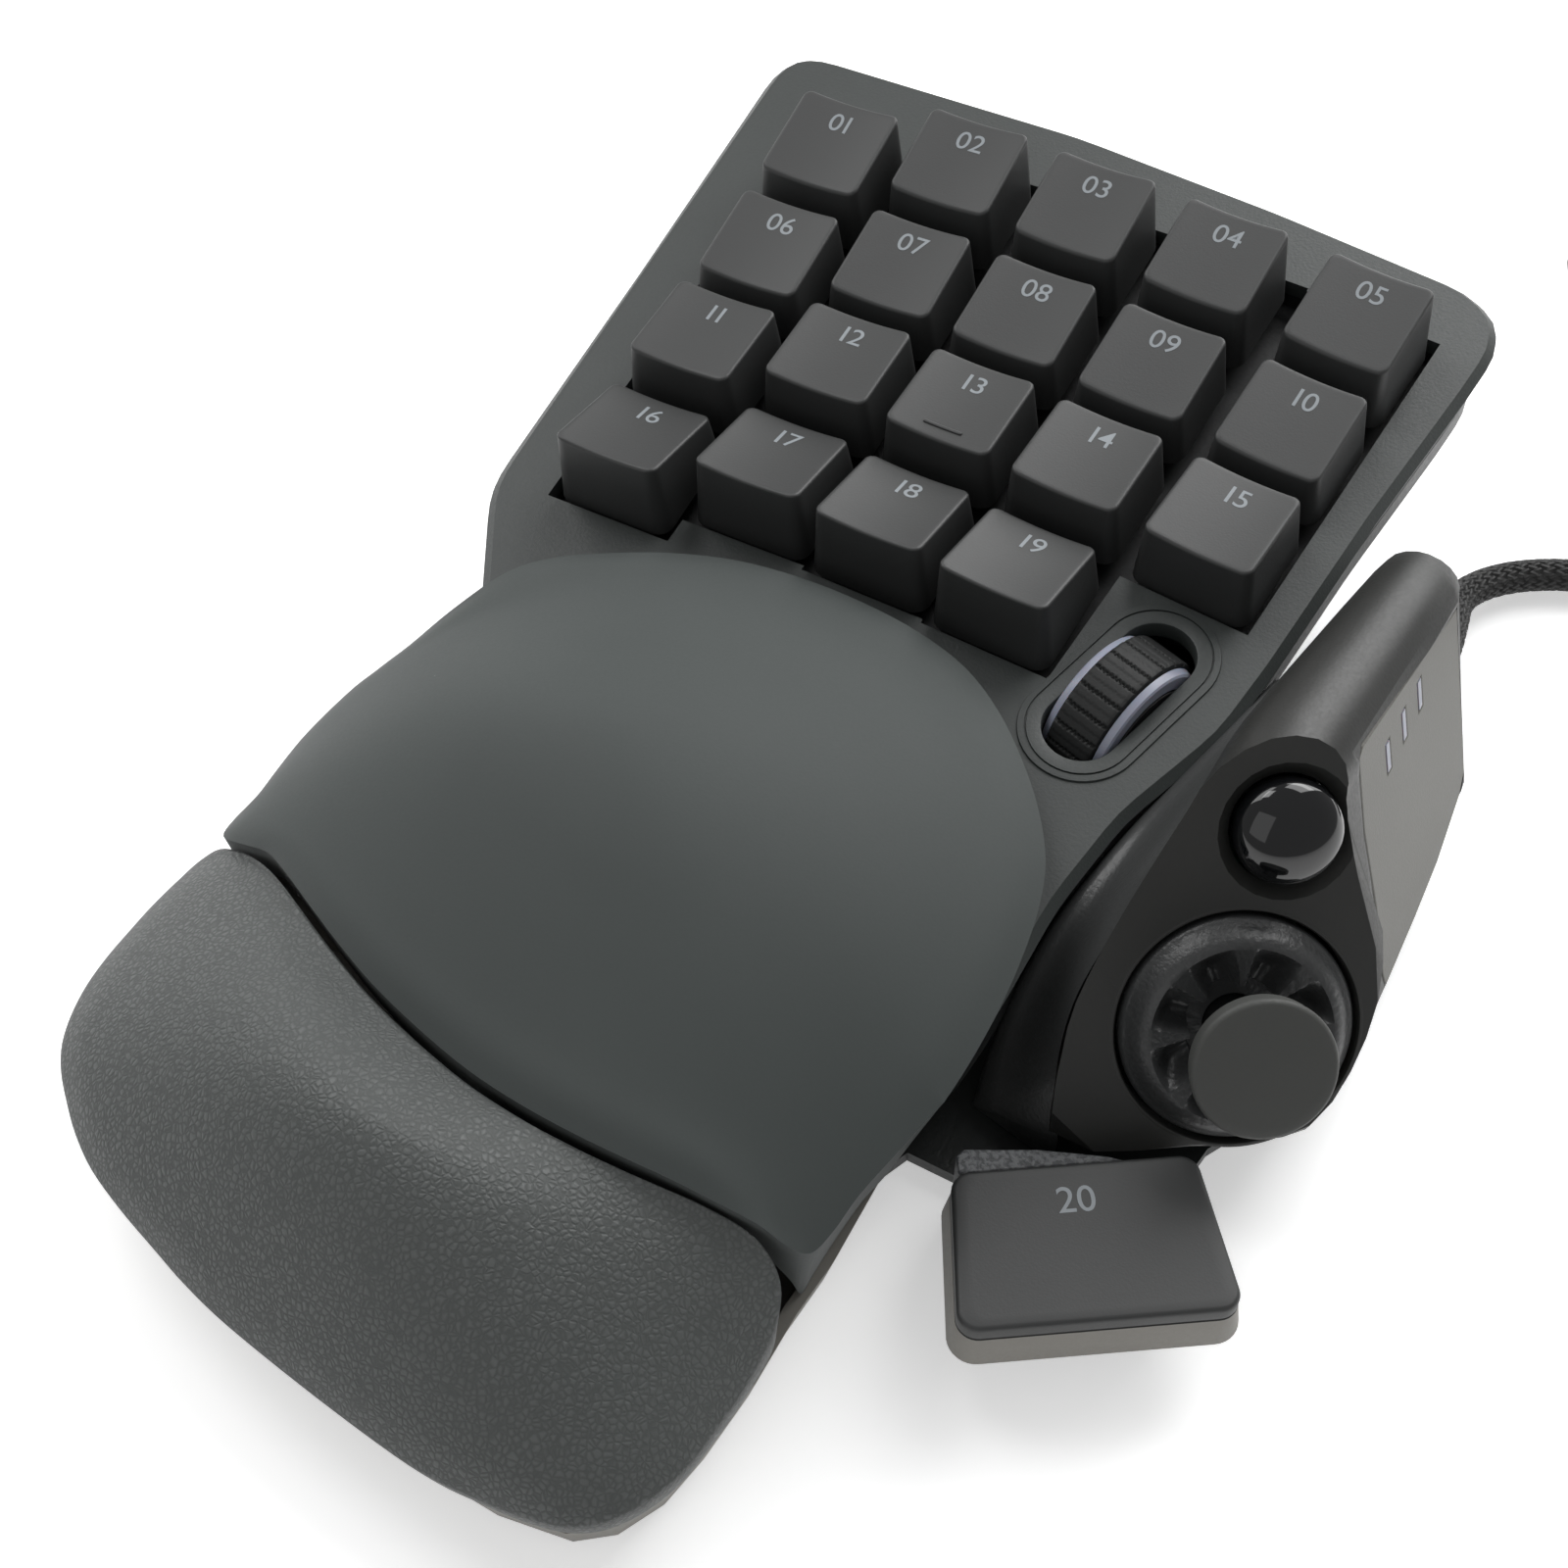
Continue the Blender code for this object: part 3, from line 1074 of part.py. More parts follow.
def build_saddle():
    """The curved saddle that fills the room between the deck and the face of the thumb module."""
    low = FOOT_HEIGHT + GAP + PLATE + GAP
    rings = []
    for shares in between(SADDLE_shares):
        outer = Vector((THUMB_X + shares[0] * THUMB_WIDTH, THUMB_Y - shares[1] * THUMB_LENGTH,
                        shares[2] * THUMB_HEIGHT))
        inner = Vector((THUMB_X + shares[3] * THUMB_WIDTH, THUMB_Y - shares[4] * THUMB_LENGTH,
                        shares[5] * THUMB_HEIGHT))
        left = outer - Vector((SADDLE_OVERLAP, 0.0, 0.0))
        right = inner + Vector((SADDLE_OVERLAP, 0.0, -SADDLE_OVERLAP))
        rings.append([(left.x, left.y, low), tuple(left), tuple(outer), tuple(inner), tuple(right),
                      (right.x, right.y, low)])
    saddle = add_object("module_saddle", stacked_mesh("module_saddle", rings), "shell")
    cutter(saddle, "saddle_deck_room", deck_block("saddle_deck_room", SADDLE_GROOVE))
    cutter(saddle, "saddle_module_room", thumb_mesh("saddle_module_room", -GAP, GAP * 2))
    return saddle


def build_side_plate():
    """The grey side plate with three slits, and the light pipe whose tabs stand in them."""
    frame = side_matrix()
    plate = add_object("thumb_side_plate", prism_mesh("thumb_side_plate", side_outline(), -SIDE_PLATE, 0.0),
                       "plate", None, frame)
    slots = bmesh.new()
    pipe = bmesh.new()
    low_y = SLIT_DOWN + GAP
    high_y = SLIT_DOWN + SLIT_LENGTH - GAP
    depth = SIDE_PLATE + GAP
    half = SLIT_WIDTH / 2
    for index in range(3):
        x = SLIT_START + SLIT_PITCH * index
        add_prism(slots, [(x - half - PIPE_CLEAR, low_y - PIPE_CLEAR), (x + half + PIPE_CLEAR, low_y - PIPE_CLEAR),
                          (x + half + PIPE_CLEAR, high_y + PIPE_CLEAR),
                          (x - half - PIPE_CLEAR, high_y + PIPE_CLEAR)], -depth - OVERRUN, OVERRUN)
        add_prism(pipe, [(x - half, low_y), (x + half, low_y), (x + half, high_y), (x - half, high_y)],
                  -depth - PIPE_THICK / 2, 0.0)
    cutter(plate, "light_slots", finish_mesh("light_slots", slots), frame)
    left = SLIT_START - half - GAP
    right = SLIT_START + 2 * SLIT_PITCH + half + GAP
    bar = prism_mesh("mode_light_pipe", [(left, low_y), (right, low_y), (right, high_y), (left, high_y)],
                     -depth - PIPE_THICK, -depth)
    item = add_object("mode_light_pipe", bar, "light", None, frame)
    cutter(item, "light_tabs", finish_mesh("light_tabs", pipe), frame, "UNION")


def build_thumb_controls():
    """Glossy button, eight-way pad with its stick, gimbal ring, sensor box and thumb board."""
    face = face_matrix()
    dome = [(BUTTON_RADIUS * math.cos(math.radians(angle)), BUTTON_DOME * math.sin(math.radians(angle)))
            for angle in (75, 55, 35, 15, 0)]
    profile = dome + [(BUTTON_RADIUS, -BUTTON_TRAVEL - GAP), (BUTTON_RADIUS / 2, -BUTTON_TRAVEL - GAP),
                      (BUTTON_RADIUS / 2, -BUTTON_STEM)]
    button = turned_mesh("thumb_button", profile, ROUND_SIDES, math.radians(40))
    add_object("thumb_button", button, "gloss", None, face @ Matrix.Translation((BUTTON_SIDE, BUTTON_UP, 0.0)))
    pivot = face @ Matrix.Translation((0.0, 0.0, -GIMBAL_DROP))
    pad = add_object("direction_pad", pad_mesh(), "inner", None, pivot)
    hole = prism_mesh("pad_bore", circle(STICK_STEM_RADIUS + GAP), -PAD_DEPTH, GIMBAL_DROP + PAD_RISE + PAD_HUB)
    cutter(pad, "pad_bore", hole, pivot)
    top = GIMBAL_DROP + STICK_HEIGHT
    under = top - STICK_CAP_THICK
    stem = [(STICK_STEM_RADIUS / 2, under + STICK_CAP_THICK / 2), (STICK_STEM_RADIUS / 2, under - GAP),
            (STICK_STEM_RADIUS, under - GAP), (STICK_STEM_RADIUS, 0.0), (BALL_RADIUS * 0.8, -BALL_RADIUS * 0.6),
            (BALL_RADIUS * 0.3, -BALL_RADIUS)]
    add_object("stick_stem", turned_mesh("stick_stem", stem, ROUND_SIDES, math.radians(40)), "inner",
               None, pivot)
    socket = STICK_STEM_RADIUS / 2 + GAP
    cap = [(socket, under + STICK_CAP_THICK / 2 + GAP), (socket, under),
           (STICK_CAP_RADIUS - PAD_STEP, under), (STICK_CAP_RADIUS, under + PAD_STEP),
           (STICK_CAP_RADIUS, top - PAD_STEP / 2), (STICK_CAP_RADIUS - PAD_STEP / 2, top)]
    add_object("stick_cap", turned_mesh("stick_cap", cap, ROUND_SIDES, math.radians(30)), "rubber",
               None, pivot)
    ring = annulus_mesh("gimbal_ring", GIMBAL_INNER, GIMBAL_OUTER, -GIMBAL_HALF, GIMBAL_HALF)
    add_object("gimbal_ring", ring, "metal", None, pivot)
    lift_box = -GIMBAL_DROP - GIMBAL_HALF - SWING_CLEAR
    half = SENSOR_SIDE / 2
    square = [(half, -half), (half, half), (-half, half), (-half, -half)]
    box = prism_mesh("stick_sensor", square, lift_box - SENSOR_HEIGHT, lift_box)
    add_object("stick_sensor", box, "inner", None, face)
    board_top = lift_box - SENSOR_HEIGHT - GAP
    low = -THUMB_BOARD_DOWN
    slab = [(THUMB_BOARD_RIGHT, low), (THUMB_BOARD_RIGHT, THUMB_BOARD_UP), (-THUMB_BOARD_LEFT, THUMB_BOARD_UP),
            (-THUMB_BOARD_LEFT, low)]
    board = prism_mesh("thumb_circuit_board", slab, board_top - THUMB_BOARD, board_top)
    add_object("thumb_circuit_board", board, "board", None, face)


def pad_mesh():
    """The pad: a disc with a round rim whose top is cut into eight wedge steps."""
    sides = PAD_FACETS * 4
    level = GIMBAL_DROP + PAD_RISE
    bottom = GIMBAL_DROP - PAD_DEPTH

    def ring(radius, height, step=0.0):
        points = []
        for index in range(sides):
            angle = math.tau * index / sides
            raised = step if index % 4 < 2 else 0.0
            points.append((radius * math.cos(angle), radius * math.sin(angle), height + raised))
        return points

    rings = [ring(PAD_HUB, level - PAD_STEP), ring(PAD_HUB + PAD_STEP, level - PAD_STEP, PAD_STEP),
             ring(PAD_RADIUS - PAD_STEP * 2, level - PAD_STEP / 2, PAD_STEP), ring(PAD_RADIUS - PAD_STEP / 2, level),
             ring(PAD_RADIUS, GIMBAL_DROP), ring(PAD_RADIUS - PAD_STEP / 2, bottom), ring(PAD_HUB, bottom)]
    return stacked_mesh("direction_pad", rings, math.radians(25))


def build_paddle():
    """Thumb key 20: a wide hollow cap over its cradle."""
    place = Matrix.Translation((PADDLE_X, PADDLE_Y, PADDLE_Z)) @ Matrix.Rotation(PADDLE_YAW, 4, "Z")
    corner = PADDLE_FRONT * PADDLE_CORNER_share

    def shape(shrink, radius):
        return rounded_box(PADDLE_REAR - 2 * shrink, PADDLE_DEPTH - 2 * shrink, radius, 3,
                           PADDLE_FRONT - 2 * shrink)

    outer = shape(0.0, corner)
    stem = circle(PLUNGER / 2, len(outer), turn=math.radians(-60))
    foot = -PADDLE_HEIGHT
    inner = shape(PADDLE_WALL - PADDLE_FLARE, corner - PADDLE_WALL / 2)
    rings = [lift(shape(PADDLE_EDGE, corner - PADDLE_EDGE / 2), 0.0), lift(outer, -PADDLE_EDGE),
             lift(shape(-PADDLE_FLARE, corner), foot), lift(inner, foot),
             lift(shape(PADDLE_WALL, corner - PADDLE_WALL / 2), -PADDLE_WALL), lift(stem, -PADDLE_WALL),
             lift(stem, -PADDLE_WALL - PADDLE_TRAVEL - PADDLE_TOWER_HEIGHT - GAP)]
    add_object("keycap_20", stacked_mesh("keycap_20", rings, math.radians(30)), "key", None, place)
    tower_top = -PADDLE_WALL - PADDLE_TRAVEL - GAP
    block_top = -PADDLE_HEIGHT - PADDLE_TRAVEL - GAP
    block = shape(CRADLE_INSET, corner)
    base = FOOT_HEIGHT + GAP + PLATE + GAP - PADDLE_Z
    cradle = add_object("thumb_key_cradle", prism_mesh("thumb_key_cradle", block, base, block_top),
                        "inner", None, place)
    half = PADDLE_TOWER / 2
    tower = prism_mesh("cradle_tower", [(half, -half), (half, half), (-half, half), (-half, -half)],
                       block_top - CRADLE_TOP, tower_top)
    cutter(cradle, "cradle_tower", tower, place, "UNION")
    bore_low = tower_top - PADDLE_TOWER_HEIGHT - 2 * PADDLE_TRAVEL
    bore = prism_mesh("cradle_bore", circle(TOWER_BORE / 2, SMALL_SIDES), bore_low, tower_top + OVERRUN)
    cutter(cradle, "cradle_bore", bore, place)


def tube(name, points, radius, finish, resolution, caps=True):
    """A cord as a curve with a round bevel and filled caps."""
    curve = bpy.data.curves.new(name, "CURVE")
    curve.dimensions = "3D"
    curve.bevel_depth = radius
    curve.bevel_resolution = resolution
    curve.use_fill_caps = caps
    line = curve.splines.new("POLY")
    line.points.add(len(points) - 1)
    for spot, point in zip(line.points, points):
        spot.co = (*point, 1.0)
    item = bpy.data.objects.new(name, curve)
    bpy.context.collection.objects.link(item)
    curve.materials.append(material(finish))
    return item


def smooth_path(points, step):
    """A smooth curve through the route's points, read at an even step."""
    dense = []
    for index in range(len(points) - 1):
        a = Vector(points[max(index - 1, 0)])
        b = Vector(points[index])
        c = Vector(points[index + 1])
        d = Vector(points[min(index + 2, len(points) - 1)])
        for part in range(20):
            t = part / 20
            dense.append((2 * b + (c - a) * t + (2 * a - 5 * b + 4 * c - d) * t * t
                          + (3 * b - a - 3 * c + d) * t * t * t) / 2)
    dense.append(Vector(points[-1]))
    lengths = [0.0]
    for before, after in zip(dense, dense[1:]):
        lengths.append(lengths[-1] + (after - before).length)
    count = max(2, round(lengths[-1] / step))
    result = []
    cursor = 0
    for index in range(count + 1):
        want = lengths[-1] * index / count
        while cursor < len(dense) - 2 and lengths[cursor + 1] < want:
            cursor += 1
        span = lengths[cursor + 1] - lengths[cursor]
        share = (want - lengths[cursor]) / span if span else 0.0
        result.append(dense[cursor].lerp(dense[cursor + 1], min(1.0, share)))
    return result, lengths[-1]


def coil_points():
    """One unbroken run: spiral in on the desk, climb a layer, spiral out and come down beside it."""
    low = TIE_WALL + GAP + CORD_RADIUS
    points = []
    layer_points = round(COIL_LOOPS * COIL_STEPS)
    for index in range(layer_points + 1):
        share = index / COIL_STEPS
        points.append((COIL_OUTER - COIL_TURN_STEP * share, COIL_START + math.tau * share, low))
    inner, angle = points[-1][0], points[-1][1]
    half = int(COIL_STEPS / 2)
    for index in range(1, half + 1):
        share = index / half
        rise = (1 - math.cos(math.pi * share)) / 2
        dip = COIL_TURN_STEP / math.tau * math.sin(math.pi * share)
        points.append((inner - dip, angle + math.pi * share, low + COIL_LAYER * rise))
    angle = points[-1][1]
    for index in range(1, layer_points + 1):
        share = index / COIL_STEPS
        points.append((inner + COIL_TURN_STEP * share, angle + math.tau * share, low + COIL_LAYER))
    placed = [Vector((COIL_X + r * math.cos(a), COIL_Y + r * math.sin(a), z)) for r, a, z in points]
    entry = Vector((-math.sin(COIL_START), math.cos(COIL_START), 0.0))
    last_angle = points[-1][1]
    away = Vector((-math.sin(last_angle), math.cos(last_angle), 0.0))
    rest = PLUG_HEIGHT / 2 + GAP
    for index in range(1, 8):
        share = index / 7
        fall = (1 - math.cos(math.pi * min(1.0, share * 1.2))) / 2
        spot = placed[layer_points * 2 + half] + away * TAIL_LENGTH * share
        spot.z = low + COIL_LAYER + (rest - low - COIL_LAYER) * fall
        placed.append(spot)
    return [placed[0] - entry * CORD_RADIUS * 2] + placed, entry, away


def least_gap(points, radius):
    """Least clear distance of a tube to itself, away from its own neighbours along the run."""
    best = 1.0
    skip = int(COIL_STEPS / 2)
    for index in range(0, len(points), 2):
        for other in range(index + skip, len(points)):
            best = min(best, (points[index] - points[other]).length)
    return best - 2 * radius


def build_cord():
    """Strain relief, free run, coil, tie and plug."""
    boot_back = CORD_START_Y - GAP
    boot = [(BOOT_WIDE, 0.0), (BOOT_WIDE, BOOT_LENGTH / 4), (BOOT_THIN, BOOT_LENGTH), (CORD_RADIUS / 2, BOOT_LENGTH)]
    turn = Matrix.Translation((CORD_START_X, boot_back - BOOT_LENGTH, CORD_START_Z)) @ Matrix.Rotation(
        -math.pi / 2, 4, "X")
    add_object("cord_strain_relief", turned_mesh("cord_strain_relief", boot, SMALL_SIDES, math.radians(40)),
               "rubber", None, turn)
    coil, entry, away = coil_points()
    route = [Vector(point) for point in CORD_ROUTE]
    target = coil[0] - entry * GAP
    route += [target - entry * CORD_RADIUS * 4, target]
    path, run_length = smooth_path(route, CORD_RADIUS * 5)
    tube("cable_run", path, CORD_RADIUS, "cord", 2)
    tube("cable_coil", coil, CORD_RADIUS, "cord", 1)
    coil_length = sum((after - before).length for before, after in zip(coil, coil[1:]))
    print("cord length %.3f m, coil gap %.2f mm" % (run_length + coil_length,
                                                   least_gap(coil, CORD_RADIUS) / MM))
    inner = COIL_OUTER - COIL_TURN_STEP * COIL_LOOPS - CORD_RADIUS * 2 - GAP
    outer = COIL_OUTER + CORD_RADIUS + GAP
    top = TIE_WALL + GAP + 2 * CORD_RADIUS + COIL_LAYER + GAP
    hole = [(inner, TIE_WALL), (outer, TIE_WALL), (outer, top), (inner, top)]
    band = [(inner - TIE_WALL, 0.0), (outer + TIE_WALL, 0.0), (outer + TIE_WALL, top + TIE_WALL),
            (inner - TIE_WALL, top + TIE_WALL)]
    rings = [[(x, side, z) for x, z in outline] for outline, side in
             ((hole, -TIE_WIDTH / 2), (band, -TIE_WIDTH / 2), (band, TIE_WIDTH / 2), (hole, TIE_WIDTH / 2))]
    place = Matrix.Translation((COIL_X, COIL_Y, 0.0)) @ Matrix.Rotation(TIE_ANGLE, 4, "Z")
    add_object("cable_tie", stacked_mesh("cable_tie", rings, closed=True), "rubber", None, place)
    end = coil[-1] + away * GAP
    angle = math.atan2(away.y, away.x)
    plug_frame = Matrix.Translation(end) @ Matrix.Rotation(angle, 4, "Z")
    ring_low = rounded_box(PLUG_WIDTH, PLUG_HEIGHT, PLUG_HEIGHT / 5)
    rings = [[(x, y, z) for y, z in ring_low] for x in (0.0, PLUG_LENGTH)]
    add_object("plug_body", stacked_mesh("plug_body", rings, math.radians(40)), "rubber", None, plug_frame)
    outer_ring = rounded_box(PLUG_SHELL_WIDTH, PLUG_SHELL_HEIGHT, PLUG_SHELL_WALL)
    inner_ring = inset(outer_ring, PLUG_SHELL_WALL)
    start = PLUG_LENGTH + GAP
    stop = start + PLUG_SHELL_LENGTH
    rings = [[(start, y, z) for y, z in outer_ring], [(stop, y, z) for y, z in outer_ring],
             [(stop, y, z) for y, z in inner_ring], [(start + PLUG_SHELL_WALL, y, z) for y, z in inner_ring]]
    add_object("plug_shell", stacked_mesh("plug_shell", rings), "metal", None, plug_frame)


def main():
    clear_scene()
    deck = deck_frame()
    build_top_shell(deck)
    build_housing(deck)
    build_guide_plate(deck)
    build_main_board(deck)
    build_keycaps(deck)
    build_wheel(deck)
    build_base()
    build_palm_dome()
    build_cushion()
    build_tray()
    build_thumb_shell()
    build_saddle()
    build_side_plate()
    build_thumb_controls()
    build_paddle()
    build_cord()


main()
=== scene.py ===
"""Looks of a left-hand gaming keypad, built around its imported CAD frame."""

import math

import bmesh
import bpy
from mathutils import Matrix, Vector
from mathutils.bvhtree import BVHTree


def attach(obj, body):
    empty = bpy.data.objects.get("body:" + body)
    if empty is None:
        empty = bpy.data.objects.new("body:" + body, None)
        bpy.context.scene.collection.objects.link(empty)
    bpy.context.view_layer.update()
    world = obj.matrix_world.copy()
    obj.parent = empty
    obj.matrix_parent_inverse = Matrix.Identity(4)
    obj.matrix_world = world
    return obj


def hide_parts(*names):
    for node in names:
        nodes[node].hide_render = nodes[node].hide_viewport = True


MM = 0.001

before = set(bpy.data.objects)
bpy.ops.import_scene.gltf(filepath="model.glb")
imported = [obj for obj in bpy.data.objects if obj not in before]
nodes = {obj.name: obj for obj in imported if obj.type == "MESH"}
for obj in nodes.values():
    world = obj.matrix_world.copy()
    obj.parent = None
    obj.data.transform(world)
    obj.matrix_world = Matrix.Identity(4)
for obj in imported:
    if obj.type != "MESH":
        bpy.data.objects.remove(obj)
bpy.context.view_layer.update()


def link(name, data):
    item = bpy.data.objects.new(name, data)
    bpy.context.scene.collection.objects.link(item)
    return item


# Camera: fitted to the photograph, square frame

CAMERA_PLACE = (0.079853, -0.161430, 0.251004)
CAMERA_RIGHT = (0.87316753, 0.48740148, -0.0042737)
CAMERA_UP = (-0.38311071, 0.69170111, 0.61218931)
CAMERA_BACK = (0.3013381, -0.53290653, 0.79069968)
SENSOR_MM = 36.0
LENS_MM = 51.474
NEAREST_SEEN = 10 * MM


def set_camera():
    """The camera of the photograph, about 52 degrees above the desk."""
    data = bpy.data.cameras.new("camera")
    data.sensor_width = SENSOR_MM
    data.sensor_fit = "HORIZONTAL"
    data.lens = LENS_MM
    data.clip_start = NEAREST_SEEN
    camera = link("camera", data)
    turn = Matrix((CAMERA_RIGHT, CAMERA_UP, CAMERA_BACK)).transposed().to_4x4()
    camera.matrix_world = Matrix.Translation(CAMERA_PLACE) @ turn
    bpy.context.scene.camera = camera


# Materials

def linear(code):
    """An sRGB hex colour as linear red, green, blue and one."""
    parts = [int(code[index:index + 2], 16) / 255 for index in (1, 3, 5)]
    return (*[p / 12.92 if p <= 0.04045 else ((p + 0.055) / 1.055) ** 2.4 for p in parts], 1.0)


def add(tree, kind, inputs=None, **settings):
    """Add one shader node; its inputs are values or the sockets that feed them."""
    node = tree.nodes.new("ShaderNode" + kind)
    for name, value in settings.items():
        setattr(node, name, value)
    for name, value in (inputs or {}).items():
        if isinstance(value, bpy.types.NodeSocket):
            tree.links.new(value, node.inputs[name])
        else:
            node.inputs[name].default_value = value
    return node


def plain_material(name, sockets):
    """A material with the sockets of its Principled shader set."""
    made = bpy.data.materials.new(name)
    made.use_nodes = True
    shader = made.node_tree.nodes["Principled BSDF"]
    for socket, value in sockets.items():
        shader.inputs[socket].default_value = value
    return made, made.node_tree, shader


def start_material(name, sockets):
    """The same with its Object coordinates, in metres, for the patterns."""
    made, tree, shader = plain_material(name, sockets)
    return made, tree, shader, add(tree, "TexCoord").outputs["Object"]


def feed(tree, shader, colour=None, gloss=None, relief=None, strength=1.0):
    """Feed a shader from masks: two hex colours, two roughnesses, and a height in metres."""
    if colour:
        mask, low, high = colour
        blend = add(tree, "Mix", {0: mask, 6: linear(low), 7: linear(high)}, data_type="RGBA")
        tree.links.new(blend.outputs[2], shader.inputs["Base Color"])
    if gloss:
        mask, low, high = gloss
        span = add(tree, "MapRange", {"Value": mask, "To Min": low, "To Max": high})
        tree.links.new(span.outputs["Result"], shader.inputs["Roughness"])
    if relief:
        mask, height = relief
        bump = add(tree, "Bump", {"Height": mask, "Distance": height, "Strength": strength})
        tree.links.new(bump.outputs["Normal"], shader.inputs["Normal"])


def moulded_plastic(name, dark, pale, rough, grit_mm, relief_mm, spread=0.12, pit_shade=0.0):
    """ABS from a spark-eroded mould: an even grit that breaks up the sheen, and may be pitted, with
    painted shade in the pits and painted highlight on the grit's tops.

    Such a grit is finer than a render shows, so it is drawn coarser, 0.3 to 0.7 mm across.
    """
    made, tree, shader, place = start_material(name, {"IOR": 1.5})
    grit = add(tree, "TexNoise", {"Vector": place, "Scale": 1 / (grit_mm * MM), "Detail": 2.0})
    grain = grit.outputs["Fac"]
    cloud = add(tree, "TexNoise", {"Vector": place, "Scale": 1 / (22 * MM), "Detail": 3.0})
    mask = cloud.outputs["Fac"]
    if pit_shade:
        # Painted shade and highlight: the colour follows the grit's height, darker in its pits and paler
        # on its tops.
        pits = add(tree, "MapRange", {"Value": grain, "From Min": 0.38, "From Max": 0.62,
                                      "To Min": -pit_shade, "To Max": pit_shade})
        mask = add(tree, "Math", {0: mask, 1: pits.outputs["Result"]}, operation="ADD").outputs[0]
    feed(tree, shader, (mask, dark, pale), (grain, rough - spread, rough + spread),
         (grain, relief_mm * MM))
    return made


def soft_touch(name):
    """Soft-touch lacquer over plastic: velvety, nearly without gloss, with a few specks of dust."""
    made, tree, shader, place = start_material(
        name, {"IOR": 1.42, "Sheen Weight": 0.05, "Sheen Roughness": 0.6})
    fine = add(tree, "TexNoise", {"Vector": place, "Scale": 1 / (0.4 * MM), "Detail": 2.0})
    cloud = add(tree, "TexNoise", {"Vector": place, "Scale": 1 / (30 * MM), "Detail": 2.0})
    cells = add(tree, "TexVoronoi", {"Vector": place, "Scale": 1 / (13 * MM)})
    speck = add(tree, "MapRange", {"Value": cells.outputs["Distance"], "From Min": 0.012,
                                   "From Max": 0.016, "To Min": 1.0, "To Max": 0.0})
    body = add(tree, "Mix", {0: cloud.outputs["Fac"], 6: linear("#3d4241"), 7: linear("#444948")},
               data_type="RGBA")
    dust = add(tree, "Mix", {0: speck.outputs["Result"], 6: body.outputs[2], 7: linear("#8b908f")},
               data_type="RGBA")
    tree.links.new(dust.outputs[2], shader.inputs["Base Color"])
    feed(tree, shader, None, (fine.outputs["Fac"], 0.58, 0.72), (fine.outputs["Fac"], 0.01 * MM))
    return made


def leatherette(name):
    """Polyurethane leather over foam: soft pebbles about 0.8 mm across, faintly creased between, with
    painted shade darkening the creases.
    """
    made, tree, shader, place = start_material(name, {"IOR": 1.5})
    drift = add(tree, "TexNoise", {"Vector": place, "Scale": 1 / (2.0 * MM), "Detail": 2.0})
    pull = add(tree, "VectorMath", {0: drift.outputs["Color"], 1: (0.9 * MM, 0.9 * MM, 0.9 * MM)},
               operation="MULTIPLY")
    bent = add(tree, "VectorMath", {0: place, 1: pull.outputs["Vector"]}, operation="ADD")
    cells = add(tree, "TexVoronoi", {"Vector": bent.outputs["Vector"], "Scale": 1 / (0.78 * MM)},
                feature="DISTANCE_TO_EDGE")
    pebble = add(tree, "MapRange", {"Value": cells.outputs["Distance"], "From Max": 0.34},
                 interpolation_type="SMOOTHSTEP")
    grit = add(tree, "TexNoise", {"Vector": place, "Scale": 1 / (0.5 * MM), "Detail": 2.0})
    fine = add(tree, "MapRange", {"Value": grit.outputs["Fac"], "To Max": 0.6})
    height = add(tree, "Math", {0: pebble.outputs["Result"], 1: fine.outputs["Result"]},
                 operation="ADD")
    wide = add(tree, "TexNoise", {"Vector": place, "Scale": 1 / (18 * MM), "Detail": 3.0})
    body = add(tree, "Mix", {0: wide.outputs["Fac"], 6: linear("#515453"), 7: linear("#5c5f5e")},
               data_type="RGBA")
    # Painted shade: the colour darkens towards the creases between the pebbles, where the bump sinks.
    crease_shade = add(tree, "Mix", {0: pebble.outputs["Result"], 6: linear("#494c4b"), 7: body.outputs[2]},
                 data_type="RGBA")
    tree.links.new(crease_shade.outputs[2], shader.inputs["Base Color"])
    feed(tree, shader, None, (pebble.outputs["Result"], 0.58, 0.44),
         (height.outputs["Value"], 0.07 * MM), 0.9)
    return made


def rubber(name, colour, rough):
    """Moulded silicone rubber: matt, with a fine pitted skin."""
    made, tree, shader, place = start_material(name, {"IOR": 1.42, "Base Color": linear(colour)})
    pits = add(tree, "TexNoise", {"Vector": place, "Scale": 1 / (0.35 * MM), "Detail": 3.0})
    feed(tree, shader, None, (pits.outputs["Fac"], rough - 0.12, rough + 0.1),
         (pits.outputs["Fac"], 0.03 * MM))
    return made


def gloss_acrylic(name):
    """Polished black acrylic: mirror-like, with the faintest haze."""
    made, tree, shader, place = start_material(
        name, {"IOR": 1.49, "Base Color": linear("#0d0e10"), "Coat Weight": 0.4,
               "Coat Roughness": 0.02})
    haze = add(tree, "TexNoise", {"Vector": place, "Scale": 1 / (3 * MM), "Detail": 3.0})
    feed(tree, shader, None, (haze.outputs["Fac"], 0.03, 0.09))
    return made


def milky_polycarbonate(name, colour):
    """Frosted light guide, unlit: pale, a little see-through at its skin."""
    made, tree, shader, place = start_material(
        name, {"IOR": 1.58, "Base Color": linear(colour), "Subsurface Weight": 0.15,
               "Subsurface Scale": 2 * MM})
    frost = add(tree, "TexNoise", {"Vector": place, "Scale": 1 / (0.5 * MM), "Detail": 2.0})
    feed(tree, shader, None, (frost.outputs["Fac"], 0.25, 0.42), (frost.outputs["Fac"], 0.012 * MM))
    return made


